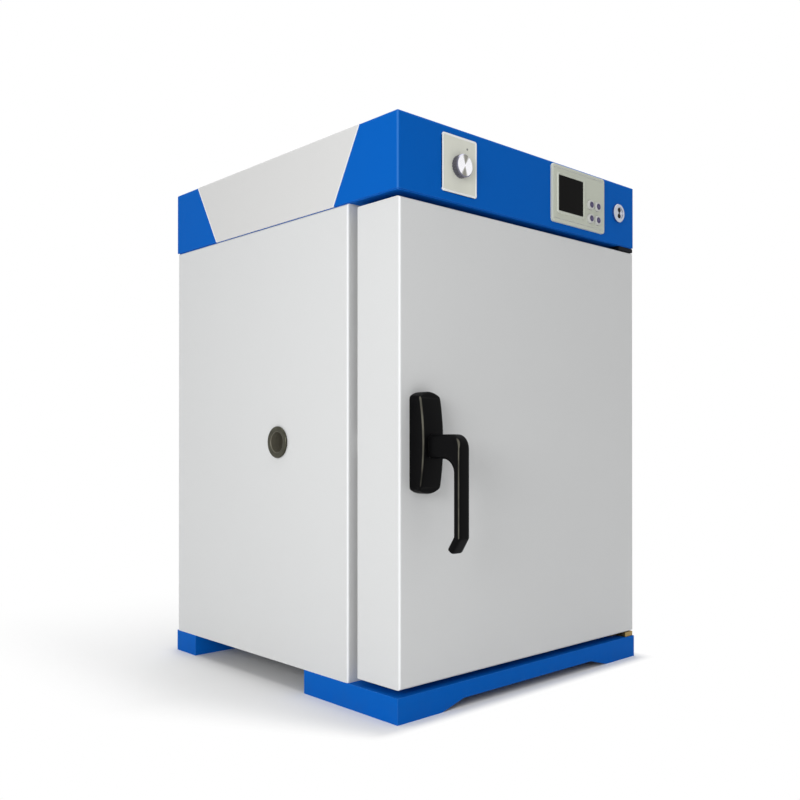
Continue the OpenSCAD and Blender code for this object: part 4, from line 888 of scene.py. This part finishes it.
def inlayRings(side, lo, hi):
    # profile across the hood's side: round its bottom edge, up the face and over the fold
    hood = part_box("hood_shell")
    face = hood[0][0] if side < 0 else hood[1][0]
    bottom, top = hood[0][2], hood[1][2]
    centreX, centreZ = face - side * film["foldR"], top - film["foldR"]
    outer = [(face + side * film["thick"], z) for z in (bottom - film["foot"], bottom, centreZ)]
    inner = [(face - side * film["under"], bottom - film["foot"])]
    inner += [(face - side * film["sunk"], z) for z in (bottom, centreZ)]
    for i in range(1, film["foldSteps"] + 1):
        a = math.radians(film["foldAngle"] * i / film["foldSteps"])
        for row, r in ((outer, film["foldR"] + film["thick"]), (inner, film["foldR"] - film["sunk"])):
            row.append((centreX + side * r * math.cos(a), centreZ + r * math.sin(a)))
    points = []
    for (ox, oz), (ix, iz) in zip(outer, inner):
        low = 1 - min(max((oz - bottom) / (centreZ - bottom), 0), 1)
        y0, y1 = lo[1] + film["frontSlope"] * low, hi[1] - film["rearSlope"] * low
        points += [(ox, y, oz) for y in (y0, y0 + film["line"], y1 - film["line"], y1)]
        points += [(ix, y, iz) for y in (y1, y0)]
    return points


def makeInlays():
    lo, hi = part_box("side_inlays")
    around = 6    # points of one ring of the film
    points = inlayRings(-1, lo, hi)
    count = len(points)
    faces = loftFaces(count // around, around)
    faces += [tuple(i + count for i in face) for face in faces]
    points += inlayRings(1, lo, hi)
    made = pieceFrom("inlayFilms", points, faces, finishes["inlay_grey"], "cabinet",
                     creaseAngle=30)
    made.data.materials.append(rimAndHighlightWhite)
    for polygon in made.data.polygons:
        # the narrow fields beside the two slanted edges, which get the painted highlight in white
        if {v % around for v in polygon.vertices} in ({0, 1}, {2, 3}):
            polygon.material_index = 1
    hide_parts("side_inlays")


makeDial()
makeKeyway()
makeHingeEnds()
makeInlays()
print("controls and inlays made")


# gasket: a bulb with two lips; each point of its section is a share of the band's width and of its depth

gasket = {"corner": 0.026, "cornerSteps": 10, "band": 0.014, "section": (
    (0.0, 0.0), (0.0, 0.22), (0.12, 0.30), (0.16, 0.50), (0.04, 0.72), (0.0, 0.86), (0.06, 0.97),
    (0.16, 0.94), (0.30, 0.80), (0.42, 0.84), (0.52, 0.98), (0.62, 0.98), (0.72, 0.84), (0.84, 0.86),
    (0.97, 0.99), (1.0, 0.90), (0.92, 0.70), (0.84, 0.50), (0.88, 0.30), (1.0, 0.22), (1.0, 0.0))}


def makeGasket():
    lo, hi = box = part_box("door_gasket")
    rows = [(gasket["band"] * share, lo[1] + (hi[1] - lo[1]) * rise) for share, rise in gasket["section"]]
    rings = insetRings(box, gasket["corner"], rows, gasket["cornerSteps"])
    made = loopPiece("gasketProfile", rings, finishes["silicone"], "door", 60)
    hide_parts("door_gasket")


# screws of the back: pan heads with a cross recess, as shares of the head's radius and height

screw = {"arm": 0.0009, "reach": 0.0023, "deep": 0.0012, "taper": 0.7,
         "head": ((1.0, 0.0), (1.0, 0.35), (0.9, 0.75), (0.66, 1.0))}


def separateHeads(mesh):
    work = bmesh.new()
    work.from_mesh(mesh)
    bmesh.ops.remove_doubles(work, verts=work.verts, dist=joinWithin)
    left = set(work.verts)
    heads = []
    while left:
        stack = [left.pop()]
        found = list(stack)
        while stack:
            for edge in stack.pop().link_edges:
                new = [v for v in edge.verts if v in left]
                left.difference_update(new)
                stack += new
                found += new
        lo = Vector([min(v.co[i] for v in found) for i in range(3)])
        hi = Vector([max(v.co[i] for v in found) for i in range(3)])
        heads.append((lo, hi))
    work.free()
    return sorted(heads, key=lambda head: (round(head[0][2], 4), round(head[0][0], 4)))


def makeScrews():
    half = screw["arm"] / 2
    cross = []
    for q in range(4):
        a = math.radians(90 * q)
        for x, z in ((half, half), (screw["reach"], half), (screw["reach"], -half)):
            cross.append((x * math.cos(a) + z * math.sin(a), z * math.cos(a) - x * math.sin(a)))
    rim = [(x / math.hypot(x, z), z / math.hypot(x, z)) for x, z in cross]
    points, faces = [], []
    for lo, hi in separateHeads(nodes["back_screws"].data):
        r, tall = (hi[0] - lo[0]) / 2, hi[1] - lo[1]
        rings = [(rim, r * wide, lo[1] + tall * up) for wide, up in screw["head"]]
        rings += [(cross, 1, hi[1]), (cross, screw["taper"], hi[1] - screw["deep"])]
        start = len(points)
        for shape, k, y in rings:
            points += placed(frontOf((lo, hi)), [(x * k, z * k) for x, z in shape], y)
        faces += [tuple(start + k for k in face) for face in loftFaces(len(rings), len(cross))]
    made = pieceFrom("screwHeads", points, faces, finishes["zinc_screws"], "cabinet",
                     creaseAngle=45)
    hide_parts("back_screws")


makeGasket()
makeScrews()
print("gasket and screws made")


# floor: paper that keeps the shadow beside the left wall and turns to plain white away from it

stage = {"size": 14.0, "floor": 0.86, "grain": 420, "rough": 0.88, "roughDrift": 0.08, "gloss": 0.1,
         "reach": 0.204, "reachSlope": 0.65, "reachRange": (0.03, 0.23), "kept": 0.3, "rearFade": 0.75,
         "rear": 0.25, "front": -0.217, "frontFade": 0.022, "sideFade": 0.02}


def floorPaper():
    f = Finish("floorPaper")
    f.feed("Base Color", (stage["floor"],) * 3 + (1,))
    f.feed("Roughness", stage["rough"] + f.noise(stage["grain"], 4, 0.6) * stage["roughDrift"])
    f.feed("Specular IOR Level", stage["gloss"])

    def ease(value):
        return f.ramp(value.clamped(), [(0.0, 0.0), (1.0, 1.0)], "EASE")

    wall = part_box("side_panel_left")[0][0]
    x, y = f.split(0), f.split(1)
    away = wall - x
    shortest, longest = stage["reachRange"]
    reach = (y * stage["reachSlope"] + stage["reach"]).calc("MAXIMUM", shortest).calc("MINIMUM", longest)
    behind = ((y - stage["rear"]) / stage["sideFade"]).clamped()
    beside = (away / stage["sideFade"]).clamped().calc("MAXIMUM", behind)
    dark = 1 - ease((away / reach - stage["kept"]) / (1 - stage["kept"]))
    dark = dark * (1 - ease(y / stage["rearFade"]) * beside)
    dark = dark * (1 - ease((stage["front"] - y) / stage["frontFade"]))
    dark = dark * (1 - ((x + wall) / stage["sideFade"]).clamped())
    paper = f.node("ShaderNodeEmission", {}, {"Strength": 1.0})
    lit = Sock(f.tree, f.shader.outputs[0])
    both = f.node("ShaderNodeMixShader", {}, {0: (1 - dark) * f.seenDirectly(), 1: lit, 2: paper})
    both.feed(f.tree.nodes["Material Output"].inputs[0])
    return f.material


def makeFloor():
    s = stage["size"] / 2
    mesh = bpy.data.meshes.new("floor")
    mesh.from_pydata([(-s, -s, 0), (s, -s, 0), (s, s, 0), (-s, s, 0)], [], [(0, 1, 2, 3)])
    mesh.materials.append(floorPaper())
    made = bpy.data.objects.new("floor", mesh)
    bpy.context.scene.collection.objects.link(made)


# surroundings: white where they are seen, dimmer where they only light the object

sky = {"lit": 0.45, "tone": (1.0, 1.0, 1.0, 1)}


def makeSky():
    world = bpy.data.worlds.new("studio")
    bpy.context.scene.world = world
    world.use_nodes = True
    world.node_tree.nodes.clear()
    n = NodeTree(world.node_tree)
    strength = n.seenDirectly() * (1 - sky["lit"]) + sky["lit"]
    back = n.node("ShaderNodeBackground", {}, {"Color": sky["tone"], "Strength": strength})
    n.node("ShaderNodeOutputWorld", {}, {"Surface": back})


lampAim = (0, 0, 0.32)
lamps = {
    "keyLeft": {"at": (-1.5, -0.75, 0.62), "size": 0.6, "power": 9.5},
    "overhead": {"at": (0.15, 0.1, 2.6), "size": 2.0, "power": 36},
    "backSoft": {"at": (1.6, 2.0, 1.4), "size": 1.4, "power": 8},
}


def makeLamps():
    for name, lamp in lamps.items():
        data = bpy.data.lights.new(name, "AREA")
        data.size = lamp["size"]
        data.energy = lamp["power"]
        made = bpy.data.objects.new(name, data)
        made.location = lamp["at"]
        made.rotation_euler = (Vector(lampAim) - Vector(lamp["at"])).to_track_quat("-Z", "Y").to_euler()
        bpy.context.scene.collection.objects.link(made)


# camera: focal length, frame and horizon in pixels, angles in degrees, place from the hood's front corner

view = {"focal": 893.44, "frame": 800, "sensor": 36.0, "horizon": 435.15, "tilt": 0.2, "turn": -42.83,
        "fromCorner": (-0.63276, -0.68625), "height": 0.30032}


def makeCamera():
    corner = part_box("hood_shell")[0]
    data = bpy.data.cameras.new("camera")
    data.sensor_width = view["sensor"]
    data.lens = view["focal"] / view["frame"] * view["sensor"]
    data.shift_y = (view["horizon"] - view["frame"] / 2) / view["frame"]
    made = bpy.data.objects.new("camera", data)
    made.location = (corner[0] + view["fromCorner"][0], corner[1] + view["fromCorner"][1], view["height"])
    made.rotation_euler = (math.radians(90 + view["tilt"]), 0, math.radians(view["turn"]))
    bpy.context.scene.collection.objects.link(made)
    bpy.context.scene.camera = made


makeFloor()
makeSky()
makeLamps()
makeCamera()
bpy.context.scene.view_settings.view_transform = "Standard"
print("stage, light and camera made")
